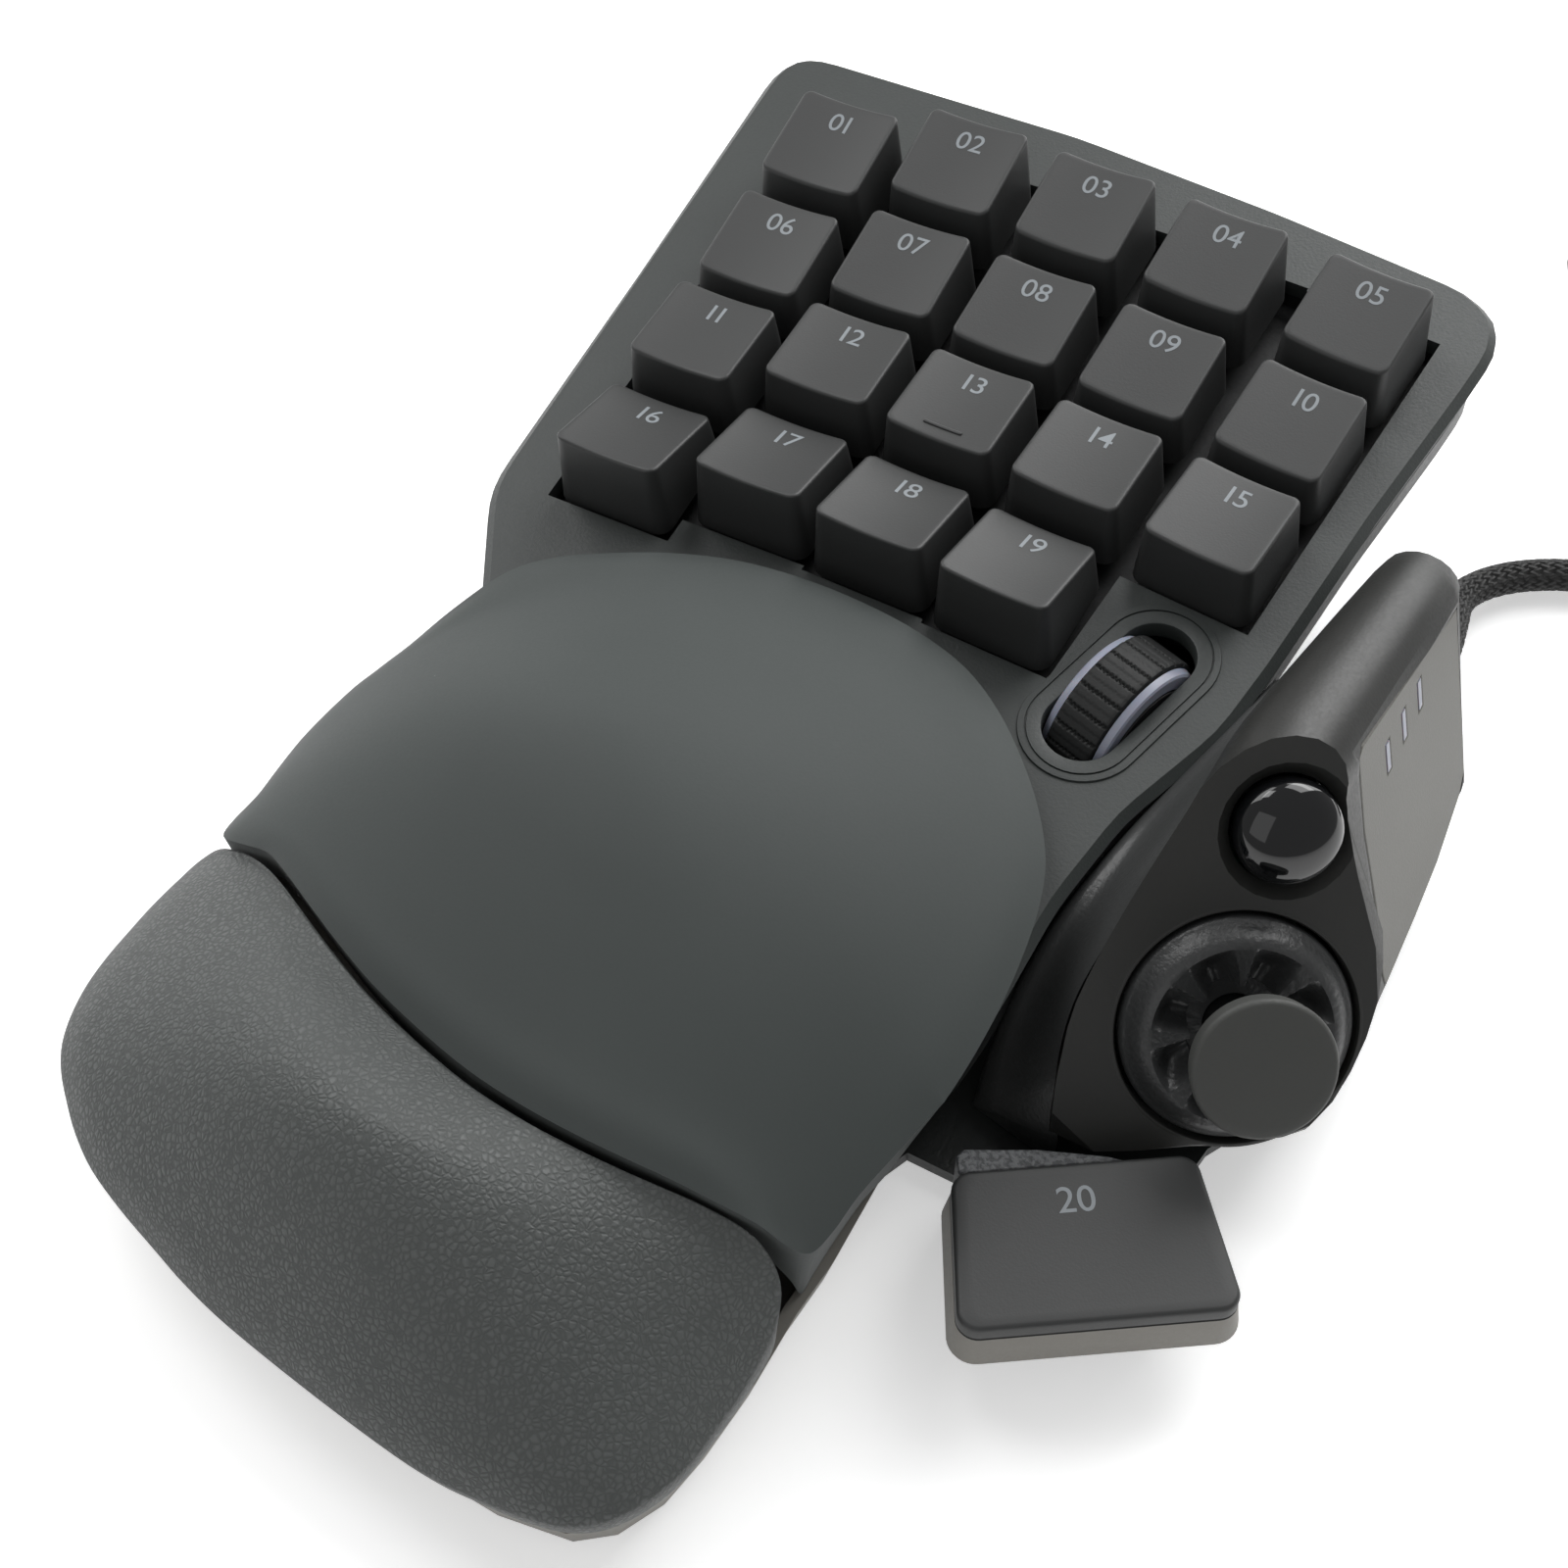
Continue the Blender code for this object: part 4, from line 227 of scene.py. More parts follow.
def satin_steel(name):
    """Rolled and satin-finished steel: fine lines along one way."""
    made, tree, shader, place = start_material(
        name, {"Metallic": 1.0, "Base Color": linear("#b9bab8")})
    drawn = add(tree, "Mapping", {"Vector": place, "Scale": (1.0, 0.04, 1.0)})
    lines = add(tree, "TexNoise", {"Vector": drawn.outputs["Vector"], "Scale": 1 / (0.3 * MM),
                                   "Detail": 3.0})
    feed(tree, shader, None, (lines.outputs["Fac"], 0.24, 0.42), (lines.outputs["Fac"], 0.01 * MM))
    return made


def green_laminate(name):
    """Epoxy glass laminate under green solder mask, with copper tracks raised below it."""
    made, tree, shader, place = start_material(name, {"IOR": 1.55, "Roughness": 0.35})
    tracks = add(tree, "TexBrick", {"Vector": place, "Scale": 1 / (9 * MM), "Mortar Size": 0.03,
                                    "Color1": (0, 0, 0, 1), "Color2": (0, 0, 0, 1),
                                    "Mortar": (1, 1, 1, 1)})
    feed(tree, shader, (tracks.outputs["Fac"], "#12402a", "#2a6a44"), None,
         (tracks.outputs["Fac"], 0.03 * MM))
    return made


CORD_MAP = "UVMap"
BRAID_STRANDS = 14
BRAID_PITCH = 2.1 * MM
BRAID_RELIEF = 0.22 * MM


def braided_nylon(name, length):
    """Black nylon braid: two sets of crossing strands that pass over and under each other, painted
    darker where they dip and paler on their crowns, as shade and highlight.
    """
    made, tree, shader, place = start_material(
        name, {"IOR": 1.5, "Sheen Weight": 0.03, "Sheen Roughness": 0.4})
    across = add(tree, "SeparateXYZ", {0: add(tree, "UVMap", uv_map=CORD_MAP).outputs["UV"]})
    turns = add(tree, "Math", {0: across.outputs[1], 1: float(BRAID_STRANDS)}, operation="MULTIPLY")
    along = add(tree, "Math", {0: across.outputs[0], 1: length / BRAID_PITCH}, operation="MULTIPLY")
    one = add(tree, "Math", {0: turns.outputs[0], 1: along.outputs[0]}, operation="ADD")
    other = add(tree, "Math", {0: turns.outputs[0], 1: along.outputs[0]}, operation="SUBTRACT")
    floors = [add(tree, "Math", {0: way.outputs[0]}, operation="FLOOR") for way in (one, other)]
    total = add(tree, "Math", {0: floors[0].outputs[0], 1: floors[1].outputs[0]}, operation="ADD")
    turn = add(tree, "Math", {0: total.outputs[0], 1: 2.0}, operation="FLOORED_MODULO")
    crowns = []
    for way in (one, other):
        part = add(tree, "Math", {0: way.outputs[0]}, operation="FRACT")
        angle = add(tree, "Math", {0: part.outputs[0], 1: math.pi}, operation="MULTIPLY")
        crowns.append(add(tree, "Math", {0: angle.outputs[0]}, operation="SINE"))
    height = add(tree, "Mix", {0: turn.outputs[0], 2: crowns[0].outputs[0], 3: crowns[1].outputs[0]})
    fibre = add(tree, "TexNoise", {"Vector": place, "Scale": 1 / (0.25 * MM), "Detail": 2.0})
    # Painted shade and highlight: the braid's colour follows its height, near black where the strands
    # dip and paler on their crowns.
    feed(tree, shader, (height.outputs[0], "#020202", "#151514"), (fibre.outputs["Fac"], 0.42, 0.65),
         (height.outputs[0], BRAID_RELIEF))
    return made


# Pieces: common steps

WELD = 0.002 * MM
FLAT_ANGLE = math.radians(0.5)
EDGE_SEGMENTS = 3


def meshed(name, shape):
    """An object at the origin that takes a bmesh over."""
    mesh = bpy.data.meshes.new(name)
    shape.to_mesh(mesh)
    shape.free()
    return link(name, mesh)


def welded(node):
    """A welded copy of a node's solid, its flat faces made whole."""
    shape = bmesh.new()
    shape.from_mesh(nodes[node].data)
    bmesh.ops.remove_doubles(shape, verts=shape.verts, dist=WELD)
    bmesh.ops.dissolve_limit(shape, angle_limit=FLAT_ANGLE, verts=shape.verts, edges=shape.edges)
    return shape


def to_piece(name, shape, finish, body, replaced=(), sharp=30.0, edge=0.0):
    """Make a bmesh a finished piece that rides on a body, its sharp edges rounded by edge metres."""
    item = meshed(name, shape)
    item.data.shade_smooth()
    item.data.set_sharp_from_angle(angle=math.radians(sharp))
    item.data.materials.append(finish)
    if edge:
        rounding = item.modifiers.new("edges", "BEVEL")
        rounding.width = edge
        rounding.segments = EDGE_SEGMENTS
        rounding.limit_method = "ANGLE"
        rounding.angle_limit = math.radians(sharp)
        rounding.harden_normals = True
        rounding.use_clamp_overlap = True
    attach(item, body)
    if replaced:
        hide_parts(*replaced)
    return item


def dressed(node, finish, body, edge, sharp=30.0):
    """A node's own solid with its edges rounded, standing for the node."""
    return to_piece(node + "_skin", welded(node), finish, body, (node,), sharp, edge)


def frozen(item):
    """The mesh of an object with its modifiers applied."""
    view = bpy.context.evaluated_depsgraph_get()
    return bpy.data.meshes.new_from_object(item.evaluated_get(view))


def apply_modifiers(item):
    mesh = frozen(item)
    item.modifiers.clear()
    old = item.data
    item.data = mesh
    bpy.data.meshes.remove(old)


def turned(profile, steps, closed=True):
    """A profile of (radius, height) spun round Z; a closed one makes a ring."""
    shape = bmesh.new()
    corners = [shape.verts.new((radius, 0.0, height)) for radius, height in profile]
    edges = [shape.edges.new(pair) for pair in zip(corners, corners[1:])]
    if closed:
        edges.append(shape.edges.new((corners[-1], corners[0])))
    bmesh.ops.spin(shape, geom=corners + edges, axis=(0, 0, 1), cent=(0, 0, 0), steps=steps,
                   angle=math.tau, use_merge=True)
    bmesh.ops.remove_doubles(shape, verts=shape.verts, dist=WELD)
    bmesh.ops.recalc_face_normals(shape, faces=shape.faces)
    return shape


def wrapped(rows, marks=None):
    """A grid bent round closed rows of points; marks are the rows' places along its UV map."""
    shape = bmesh.new()
    chart = shape.loops.layers.uv.new(CORD_MAP) if marks else None
    wide = len(rows[0])
    tall = len(rows) - 1
    bmesh.ops.create_grid(shape, x_segments=tall, y_segments=wide, size=1.0, calc_uvs=bool(marks))
    if marks:
        for face in shape.faces:
            for corner in face.loops:
                corner[chart].uv.x = marks[round(corner[chart].uv.x * tall)]
    for vert in shape.verts:
        row = round((vert.co.x + 1) / 2 * tall)
        spot = round((vert.co.y + 1) / 2 * wide) % wide
        vert.co = rows[row][spot]
    bmesh.ops.remove_doubles(shape, verts=shape.verts, dist=WELD)
    bmesh.ops.recalc_face_normals(shape, faces=shape.faces)
    return shape


def between(a, b, c, d, t):
    """A value of a smooth curve on its way from b to c, with a before them and d after."""
    return (2 * b + (c - a) * t + (2 * a - 5 * b + 4 * c - d) * t * t
            + (3 * b - a - 3 * c + d) * t * t * t) / 2


def smooth_loop(rows, steps):
    """A closed smooth curve through rows of numbers; each row keeps its own point."""
    count = len(rows)
    result = []
    for index in range(count):
        near = [rows[(index + shift) % count] for shift in (-1, 0, 1, 2)]
        for step in range(steps):
            result.append(tuple(between(*numbers, step / steps) for numbers in zip(*near)))
    return result


def through(points, steps):
    """A smooth curve through unevenly spaced points."""
    times = [0.0]
    for before, after in zip(points, points[1:]):
        times.append(times[-1] + max((after - before).length, WELD))
    ways = []
    for index in range(len(points)):
        low, high = max(index - 1, 0), min(index + 1, len(points) - 1)
        if low == index or high == index:
            ways.append((points[high] - points[low]) / (times[high] - times[low]))
            continue
        back = (points[index] - points[low]) / (times[index] - times[low])
        ahead = (points[high] - points[index]) / (times[high] - times[index])
        ways.append(back.lerp(ahead, (times[index] - times[low]) / (times[high] - times[low])))
    result = []
    for index in range(len(points) - 1):
        here, after = points[index], points[index + 1]
        leave, arrive = ways[index], ways[index + 1]
        span = times[index + 1] - times[index]
        for step in range(steps):
            t = step / steps
            result.append(here * (2 * t ** 3 - 3 * t ** 2 + 1) + leave * (t ** 3 - 2 * t ** 2 + t) * span
                          + after * (3 * t ** 2 - 2 * t ** 3) + arrive * (t ** 3 - t ** 2) * span)
    return result + [points[-1]]


def arc(middle, radius, start, stop, steps):
    """Points of an arc in the profile plane, angles in degrees."""
    return [(middle[0] + radius * math.cos(math.radians(start + (stop - start) * index / steps)),
             middle[1] + radius * math.sin(math.radians(start + (stop - start) * index / steps)))
            for index in range(steps + 1)]


# The deck and its keys, in the frame's own sizes

DECK_TILT = math.radians(7.0)
DECK = (Matrix.Translation((-45.5 * MM, 77.2 * MM, 44.1 * MM)) @ Matrix.Rotation(DECK_TILT, 4, "X"))
KEY_PITCH = 19.05 * MM
KEY_BASE = 16.9 * MM
KEY_TOP = 15.1 * MM
KEY_SINK = 1.0 * MM
KEY_HEIGHTS = (10.0 * MM, 7.7 * MM, 8.7 * MM, 8.9 * MM)
KEY_SLOPES = tuple(math.radians(angle) for angle in (8.0, 5.5, -4.0, -18.0))
COLUMN_KEYS = (4, 4, 4, 4, 3)
COLUMN_X = (0.0, 18.5 * MM, 37.4 * MM, 56.4 * MM, 76.2 * MM)
COLUMN_SHIFT = (0.0, 4.4 * MM, 3.9 * MM, 2.9 * MM, 1.4 * MM)
COLUMN_LEAN = tuple(math.radians(angle) for angle in (1.2, 1.4, -0.3, -2.0, -4.4))
KEY_ROUND = 0.5 * MM
KEY_CORNER = 6.2 * MM
KEY_DISH = 0.6 * MM
KEY_WALL = 1.4 * MM
KEY_ROOF = 1.5 * MM
KEY_HEM = 0.25 * MM
KEY_ROUND_STEPS = 4
KEY_PLUNGER = 2.6 * MM
LEGEND_HEIGHT = 3.1 * MM
LEGEND_UP = 3.6 * MM
LEGEND_CUTS = 5
KERNING = 7.0
LEGEND_STAND = 0.04 * MM
CAPITAL_SHARE = 0.72
STROKE_SHARE = 0.002
HOMING_KEY = 13
HOMING_LENGTH = 5.6 * MM
HOMING_THICK = 0.5 * MM
HOMING_ROUND = 0.16 * MM
HOMING_Y = -5.2 * MM
HOMING_SINK = 0.02 * MM

# Grid lines of a cap's top in shares of half its width, closer together towards its edge
KEY_LINES = (0.0, 0.22, 0.42, 0.60, 0.74, 0.84, 0.90, 0.95, 1.0)


def key_place(column, row):
    """Frame of a key: its base on the deck, Y towards the back."""
    middle = -KEY_PITCH * 1.5
    lean = COLUMN_LEAN[column]
    along = -KEY_PITCH * row - middle
    x = COLUMN_X[column] - math.sin(lean) * along
    y = COLUMN_SHIFT[column] + middle + math.cos(lean) * along
    return DECK @ Matrix.Translation((x, y, 0.0)) @ Matrix.Rotation(lean, 4, "Z")


def key_top(row, x, y):
    """Height of the dished top of a key."""
    dish = KEY_DISH * (1 - min(1.0, (x / (KEY_TOP / 2)) ** 2))
    return KEY_HEIGHTS[row] + y * math.tan(KEY_SLOPES[row]) - dish


def corner_way(x, y):
    """Outward way in plan at a point of a square ring with rounded corners."""
    dx = max(abs(x) - KEY_CORNER, 0.0)
    dy = max(abs(y) - KEY_CORNER, 0.0)
    way = Vector((math.copysign(dx, x), math.copysign(dy, y)))
    return way.normalized() if way.length > 0 else Vector((0.0, 0.0))


def grow_ring(shape, border, outward, height):
    """Extrude a ring, push it out in plan and set each point's height."""
    made = bmesh.ops.extrude_edge_only(shape, edges=border)["geom"]
    for vert in [part for part in made if isinstance(part, bmesh.types.BMVert)]:
        way = corner_way(vert.co.x, vert.co.y)
        vert.co.x += way.x * outward
        vert.co.y += way.y * outward
        vert.co.z = height(vert.co.x, vert.co.y)
    return [part for part in made if isinstance(part, bmesh.types.BMEdge)]


def keycap_shape(row):
    """A hollow cap, drawn out ring by ring: dished top, round edge, skirt, inside, plunger."""
    shape = bmesh.new()
    cuts = len(KEY_LINES) - 1
    bmesh.ops.create_grid(shape, x_segments=cuts * 2, y_segments=cuts * 2, size=1.0)
    half = KEY_TOP / 2 - KEY_ROUND
    top_corner = half - KEY_CORNER
    for vert in shape.verts:
        ring = [math.copysign(KEY_LINES[round(abs(part) * cuts)], part) * half for part in vert.co.xy]
        reach = max(abs(ring[0]), abs(ring[1]))
        curve = top_corner * reach / half
        start = reach - curve
        dx, dy = abs(ring[0]) - start, abs(ring[1]) - start
        if dx > 0 and dy > 0 and curve > 0:
            angle = math.pi / 4 * (dy / dx if dx >= dy else 2 - dx / dy)
            ring = [math.copysign(start + curve * math.cos(angle), ring[0]),
                    math.copysign(start + curve * math.sin(angle), ring[1])]
        vert.co = (ring[0], ring[1], key_top(row, ring[0], ring[1]))
    border = [edge for edge in shape.edges if edge.is_boundary]
    for step in range(1, KEY_ROUND_STEPS + 1):
        before = math.pi / 2 * (step - 1) / KEY_ROUND_STEPS
        angle = math.pi / 2 * step / KEY_ROUND_STEPS
        out = KEY_ROUND * (math.sin(angle) - math.sin(before))
        down = KEY_ROUND * (1 - math.cos(angle))
        border = grow_ring(shape, border, out, lambda x, y: key_top(row, x, y) - down)
    slope = math.tan(KEY_SLOPES[row])
    wide = (KEY_BASE - KEY_TOP) / 2
    roof = KEY_HEIGHTS[row] - KEY_DISH - KEY_ROOF
    for outward, height in (
            (wide * 0.45, lambda x, y: (KEY_HEIGHTS[row] + y * slope) * 0.45),
            (wide * 0.5, lambda x, y: -KEY_SINK + KEY_HEM),
            (wide * 0.05, lambda x, y: -KEY_SINK),
            (-KEY_WALL, lambda x, y: -KEY_SINK),
            (0.0, lambda x, y: roof + y * slope),
            (0.0, lambda x, y: roof + y * slope)):
        border = grow_ring(shape, border, outward, height)
    for vert in {vert for edge in border for vert in edge.verts}:
        flat = Vector(vert.co.xy).normalized() * KEY_PLUNGER
        vert.co = (flat.x, flat.y, roof + flat.y * slope)
    border = grow_ring(shape, border, 0.0, lambda x, y: -KEY_PLUNGER)
    bmesh.ops.holes_fill(shape, edges=border)
    bmesh.ops.recalc_face_normals(shape, faces=shape.faces)
    return shape


def printed_number(name, words, height, finish, body, place, face):
    """A number printed on a key: a thin solid, cut across so that it follows the face below it."""
    text = bpy.data.curves.new(name, "FONT")
    text.body = words
    text.align_x = "CENTER"
    text.align_y = "CENTER"
    text.size = height / CAPITAL_SHARE
    text.offset = STROKE_SHARE * text.size
    text.extrude = LEGEND_STAND
    text.resolution_u = 6
    for letter, before in zip(words[1:], words):
        tight = -KERNING * (letter == "1") - KERNING * (before == "1")
        text.body_format[words.index(letter, 1) - 1].kerning = tight
    item = link(name, text)
    mesh = frozen(item)
    bpy.data.objects.remove(item)
    shape = bmesh.new()
    shape.from_mesh(mesh)
    bmesh.ops.remove_doubles(shape, verts=shape.verts, dist=WELD)
    for cut in range(-LEGEND_CUTS, LEGEND_CUTS + 1):
        bmesh.ops.bisect_plane(shape, geom=shape.verts[:] + shape.edges[:] + shape.faces[:],
                               plane_co=(cut * height / LEGEND_CUTS, 0, 0), plane_no=(1, 0, 0))
    for vert in shape.verts:
        vert.co.z += face(vert.co.x, vert.co.y)
    bmesh.ops.transform(shape, matrix=place, verts=shape.verts)
    to_piece(name, shape, finish, body, ())


def build_keys(cap_finish, print_finish):
    """Nineteen caps, numbered from the back row's left, and a homing bar on the thirteenth."""
    number = 0
    for row in range(4):
        for column, keys in enumerate(COLUMN_KEYS):
            if row >= keys:
                continue
            number += 1
            place = key_place(column, row)
            node = "keycap_%02d" % number
            body = "key_%02d" % number
            shape = keycap_shape(row)
            bmesh.ops.transform(shape, matrix=place, verts=shape.verts)
            to_piece(node + "_skin", shape, cap_finish, body, (node,), 40.0)

            def face(x, y, row=row):
                return key_top(row, x, y + LEGEND_UP)

            lift = place @ Matrix.Translation((0.0, LEGEND_UP, 0.0))
            printed_number("legend_%02d" % number, "%02d" % number, LEGEND_HEIGHT, print_finish,
                           body, lift, face)
            if number == HOMING_KEY:
                homing_bar(cap_finish, body, place, row)


def homing_bar(finish, body, place, row):
    """The raised bar near the front edge, a rounded strip half sunk in the dished cap."""
    shape = bmesh.new()
    bmesh.ops.create_cube(shape, size=1.0)
    bmesh.ops.scale(shape, vec=(HOMING_LENGTH, HOMING_THICK, HOMING_THICK), verts=shape.verts)
    lengthways = [edge for edge in shape.edges if edge.calc_length() > HOMING_THICK * 2]
    bmesh.ops.subdivide_edges(shape, edges=lengthways, cuts=8)
    sharp = [edge for edge in shape.edges if edge.calc_face_angle(0.0) > 1.0]
    bmesh.ops.bevel(shape, geom=sharp, offset=HOMING_ROUND, segments=3, profile=0.5,
                    affect="EDGES", material=-1)
    for vert in shape.verts:
        vert.co.z += key_top(row, vert.co.x, HOMING_Y) - HOMING_SINK
        vert.co.y += HOMING_Y
    bmesh.ops.transform(shape, matrix=place, verts=shape.verts)
    to_piece("homing_bar", shape, finish, body, ())


# Scroll wheel

WHEEL_RADIUS = 11.0 * MM
WHEEL_DECK = (DECK @ Matrix.Translation((73.2 * MM, -61.6 * MM, 0.0))
              @ Matrix.Rotation(math.radians(-16.0), 4, "Z"))
WHEEL = WHEEL_DECK @ Matrix.Translation((0.0, 0.0, -6.5 * MM)) @ Matrix.Rotation(math.pi / 2, 4, "Y")
BEZEL_SLOT = 24.3 * MM
BEZEL_SLOT_HALF = 4.95 * MM
SLOT_STEPS = 24
TREAD_HALF = 3.3 * MM
TREAD_INNER = 8.6 * MM
TREAD_TEETH = 24
TREAD_WAVES = 5.0
TREAD_GROOVE = 0.42 * MM
TREAD_SLANT = 0.16 * MM
TREAD_GROOVE_SHARE = 0.10
TREAD_SAW_SHARE = 0.26
RING_INNER = 7.9 * MM
RING_OUTER = 10.3 * MM
RING_THICK = 1.1 * MM


def build_wheel(tread_finish, ring_finish):
    """Rubber tread with saw-edged grooves, between two frosted light rings."""
    across = 28
    outer = [(WHEEL_RADIUS - 0.5 * MM, -TREAD_HALF),
             (WHEEL_RADIUS - 0.15 * MM, -TREAD_HALF + 0.12 * MM)]
    outer += [(WHEEL_RADIUS, (-1 + 2 * index / across) * (TREAD_HALF - 0.45 * MM))
              for index in range(across + 1)]
    outer += [(WHEEL_RADIUS - 0.15 * MM, TREAD_HALF - 0.12 * MM),
              (WHEEL_RADIUS - 0.5 * MM, TREAD_HALF)]
    shape = turned(outer + [(TREAD_INNER, TREAD_HALF), (TREAD_INNER, -TREAD_HALF)], steps=576)
    for vert in shape.verts:
        radius = Vector(vert.co.xy).length
        if radius > WHEEL_RADIUS - 0.3 * MM:
            tooth = vert.co.z / TREAD_HALF * TREAD_WAVES
            saw = abs(tooth - math.floor(tooth) - 0.5) * TREAD_SAW_SHARE
            turn = (math.atan2(vert.co.y, vert.co.x) / math.tau * TREAD_TEETH + saw) % 1.0
            groove = max(0.0, 1 - abs(turn - 0.5) / TREAD_GROOVE_SHARE)
            drop = TREAD_GROOVE * groove + TREAD_SLANT * (0.5 - turn) * (groove == 0.0)
            vert.co.xy = Vector(vert.co.xy).normalized() * (radius - max(0.0, drop))
    bmesh.ops.transform(shape, matrix=WHEEL, verts=shape.verts)
    to_piece("wheel_tread_skin", shape, tread_finish, "scroll_wheel", ("wheel_tread",), 35.0)
    for side, node in ((-1, "wheel_light_ring_left"), (1, "wheel_light_ring_right")):
        near = TREAD_HALF + 0.15 * MM
        far = near + RING_THICK
        profile = [(RING_INNER, near), (RING_OUTER, near), (RING_OUTER - 0.05 * MM, near + 0.2 * MM),
                   (RING_OUTER - 0.3 * MM, far - 0.2 * MM), (RING_OUTER - 0.6 * MM, far),
                   (RING_INNER, far)]
        shape = turned([(radius, height * side) for radius, height in profile], steps=96)
        bmesh.ops.transform(shape, matrix=WHEEL, verts=shape.verts)
        to_piece(node + "_skin", shape, ring_finish, "scroll_wheel", (node,), 25.0)


def slot_loop(length, half, height):
    """Points of a slot's outline with round ends, long in y, at one height."""
    straight = length / 2 - half
    points = []
    for index in range(SLOT_STEPS + 1):
        angle = math.pi * index / SLOT_STEPS
        points.append(Vector((half * math.cos(angle), straight + half * math.sin(angle), height)))
    return points + [Vector((-point.x, -point.y, height)) for point in points]


def build_bezel(finish):
    """Matt oval frame round the wheel, proud of the deck by a hair, with a fine groove round it."""
    low = -2.4 * MM
    top = 0.32 * MM
    line = top - 0.4 * MM
    lip = 0.06 * MM
    profile = [(0.0, low), (0.0, top - 0.3 * MM), (0.1 * MM, top - 0.08 * MM), (0.3 * MM, top),
               (1.9 * MM, top), (1.96 * MM, line), (2.12 * MM, line), (2.18 * MM, top),
               (3.0 * MM, top - 0.04 * MM), (3.1 * MM, lip), (1.95 * MM, lip), (1.92 * MM, low)]
    rows = [slot_loop(BEZEL_SLOT + 2 * out, BEZEL_SLOT_HALF + out, height) for out, height in profile]
    shape = wrapped(rows + rows[:1])
    bmesh.ops.transform(shape, matrix=WHEEL_DECK, verts=shape.verts)
    to_piece("wheel_bezel_skin", shape, finish, "base", ("wheel_bezel",), 30.0)


# Thumb controls

FACE = (Matrix.Translation((57.9 * MM, -14.8 * MM, 24.6 * MM))
        @ Matrix.Rotation(math.radians(33.3), 4, "Z")
        @ Matrix.Rotation(math.radians(53.0), 4, "X")
        @ Matrix.Rotation(math.radians(-13.0), 4, "Z"))
BUTTON_UP = 24.5 * MM
BUTTON_SIDE = 0.4 * MM
BUTTON_RADIUS = 6.4 * MM
BUTTON_DOME = 3.4 * MM
BUTTON_FLANGE = 1.6 * MM
BUTTON_STEM = 2.9 * MM
BUTTON_STEM_END = 5.0 * MM
PAD_OUTER = 14.0 * MM
PAD_CREST = 10.9 * MM
PAD_WELL = 6.0 * MM
PAD_BORE = 3.7 * MM
PAD_RISE = 2.7 * MM
PAD_UNDER = -2.2 * MM
PAD_RIDGES = 8
SCOOP_DEPTH = 3.6 * MM
SCOOP_FALL = 0.8 * MM
SCOOP_FULLNESS = 0.7
SCOOP_STEEPNESS = 1.6
RIDGE_SHARES = (0.16, 0.07)
STICK_TOP = 13.2 * MM
STICK_THICK = 3.6 * MM
STICK_RADIUS = 8.5 * MM
STICK_CROWN = 0.24 * MM


def build_button(finish):
    """Polished dome in the face."""
    profile = [(0.0, -BUTTON_STEM_END), (BUTTON_STEM, -BUTTON_STEM_END), (BUTTON_STEM, -BUTTON_FLANGE),
               (BUTTON_RADIUS, -BUTTON_FLANGE), (BUTTON_RADIUS, 0.0)]
    steps = 18
    for index in range(1, steps):
        angle = math.pi / 2 * index / steps
        profile.append((BUTTON_RADIUS * math.cos(angle), BUTTON_DOME * math.sin(angle)))
    profile.append((0.0, BUTTON_DOME))
    shape = turned(profile, steps=96, closed=False)
    place = FACE @ Matrix.Translation((BUTTON_SIDE, BUTTON_UP, 0.0))
    bmesh.ops.transform(shape, matrix=place, verts=shape.verts)
    to_piece("thumb_button_skin", shape, finish, "side_button", ("thumb_button",), 40.0)


def build_pad(finish):
    """Eight-way pad: a broad crowned rim, and eight pointed ridges with deep scoops between."""
    profile = [(PAD_BORE, PAD_UNDER), (PAD_OUTER - 0.5 * MM, PAD_UNDER),
               (PAD_OUTER, PAD_UNDER + 0.5 * MM), (PAD_OUTER, -0.9 * MM)]
    profile += arc((PAD_OUTER - 1.3 * MM, -0.8 * MM), 1.3 * MM, 10, 60, 5)
    profile += [(PAD_OUTER - 1.1 * MM, 1.0 * MM), (PAD_OUTER - 1.8 * MM, 1.9 * MM),
                (PAD_OUTER - 2.5 * MM, 2.5 * MM), (PAD_CREST, PAD_RISE)]
    crest = PAD_CREST - 0.3 * MM
    profile.append((crest, PAD_RISE - 0.02 * MM))
    inner = 16
    profile += [(crest + (PAD_WELL - crest) * index / inner, PAD_RISE - 0.06 * MM)
                for index in range(1, inner + 1)]
    profile += [(PAD_WELL - 0.2 * MM, -2.0 * MM), (PAD_BORE, -2.0 * MM)]
    shape = turned(profile, steps=384)
    wide, narrow = RIDGE_SHARES
    for vert in shape.verts:
        radius = Vector(vert.co.xy).length
        if vert.co.z < PAD_RISE * 0.6 or radius > PAD_CREST - 0.1 * MM:
            continue
        turn = (math.atan2(vert.co.y, vert.co.x) / math.tau * PAD_RIDGES + 0.25) % 1.0
        reach = (PAD_CREST - radius) / (PAD_CREST - PAD_WELL)
        ridge = wide - (wide - narrow) * reach
        beside = max(0.0, abs(turn - 0.5) - ridge) / (0.5 - ridge)
        scoop = math.sin(math.pi / 2 * beside) ** SCOOP_FULLNESS
        bowl = math.sin(math.pi / 2 * min(1.0, reach * SCOOP_STEEPNESS))
        vert.co.z -= SCOOP_FALL * reach ** 2 + scoop * SCOOP_DEPTH * bowl
    bmesh.ops.transform(shape, matrix=FACE, verts=shape.verts)
    to_piece("direction_pad_skin", shape, finish, "stick", ("direction_pad",), 24.0)


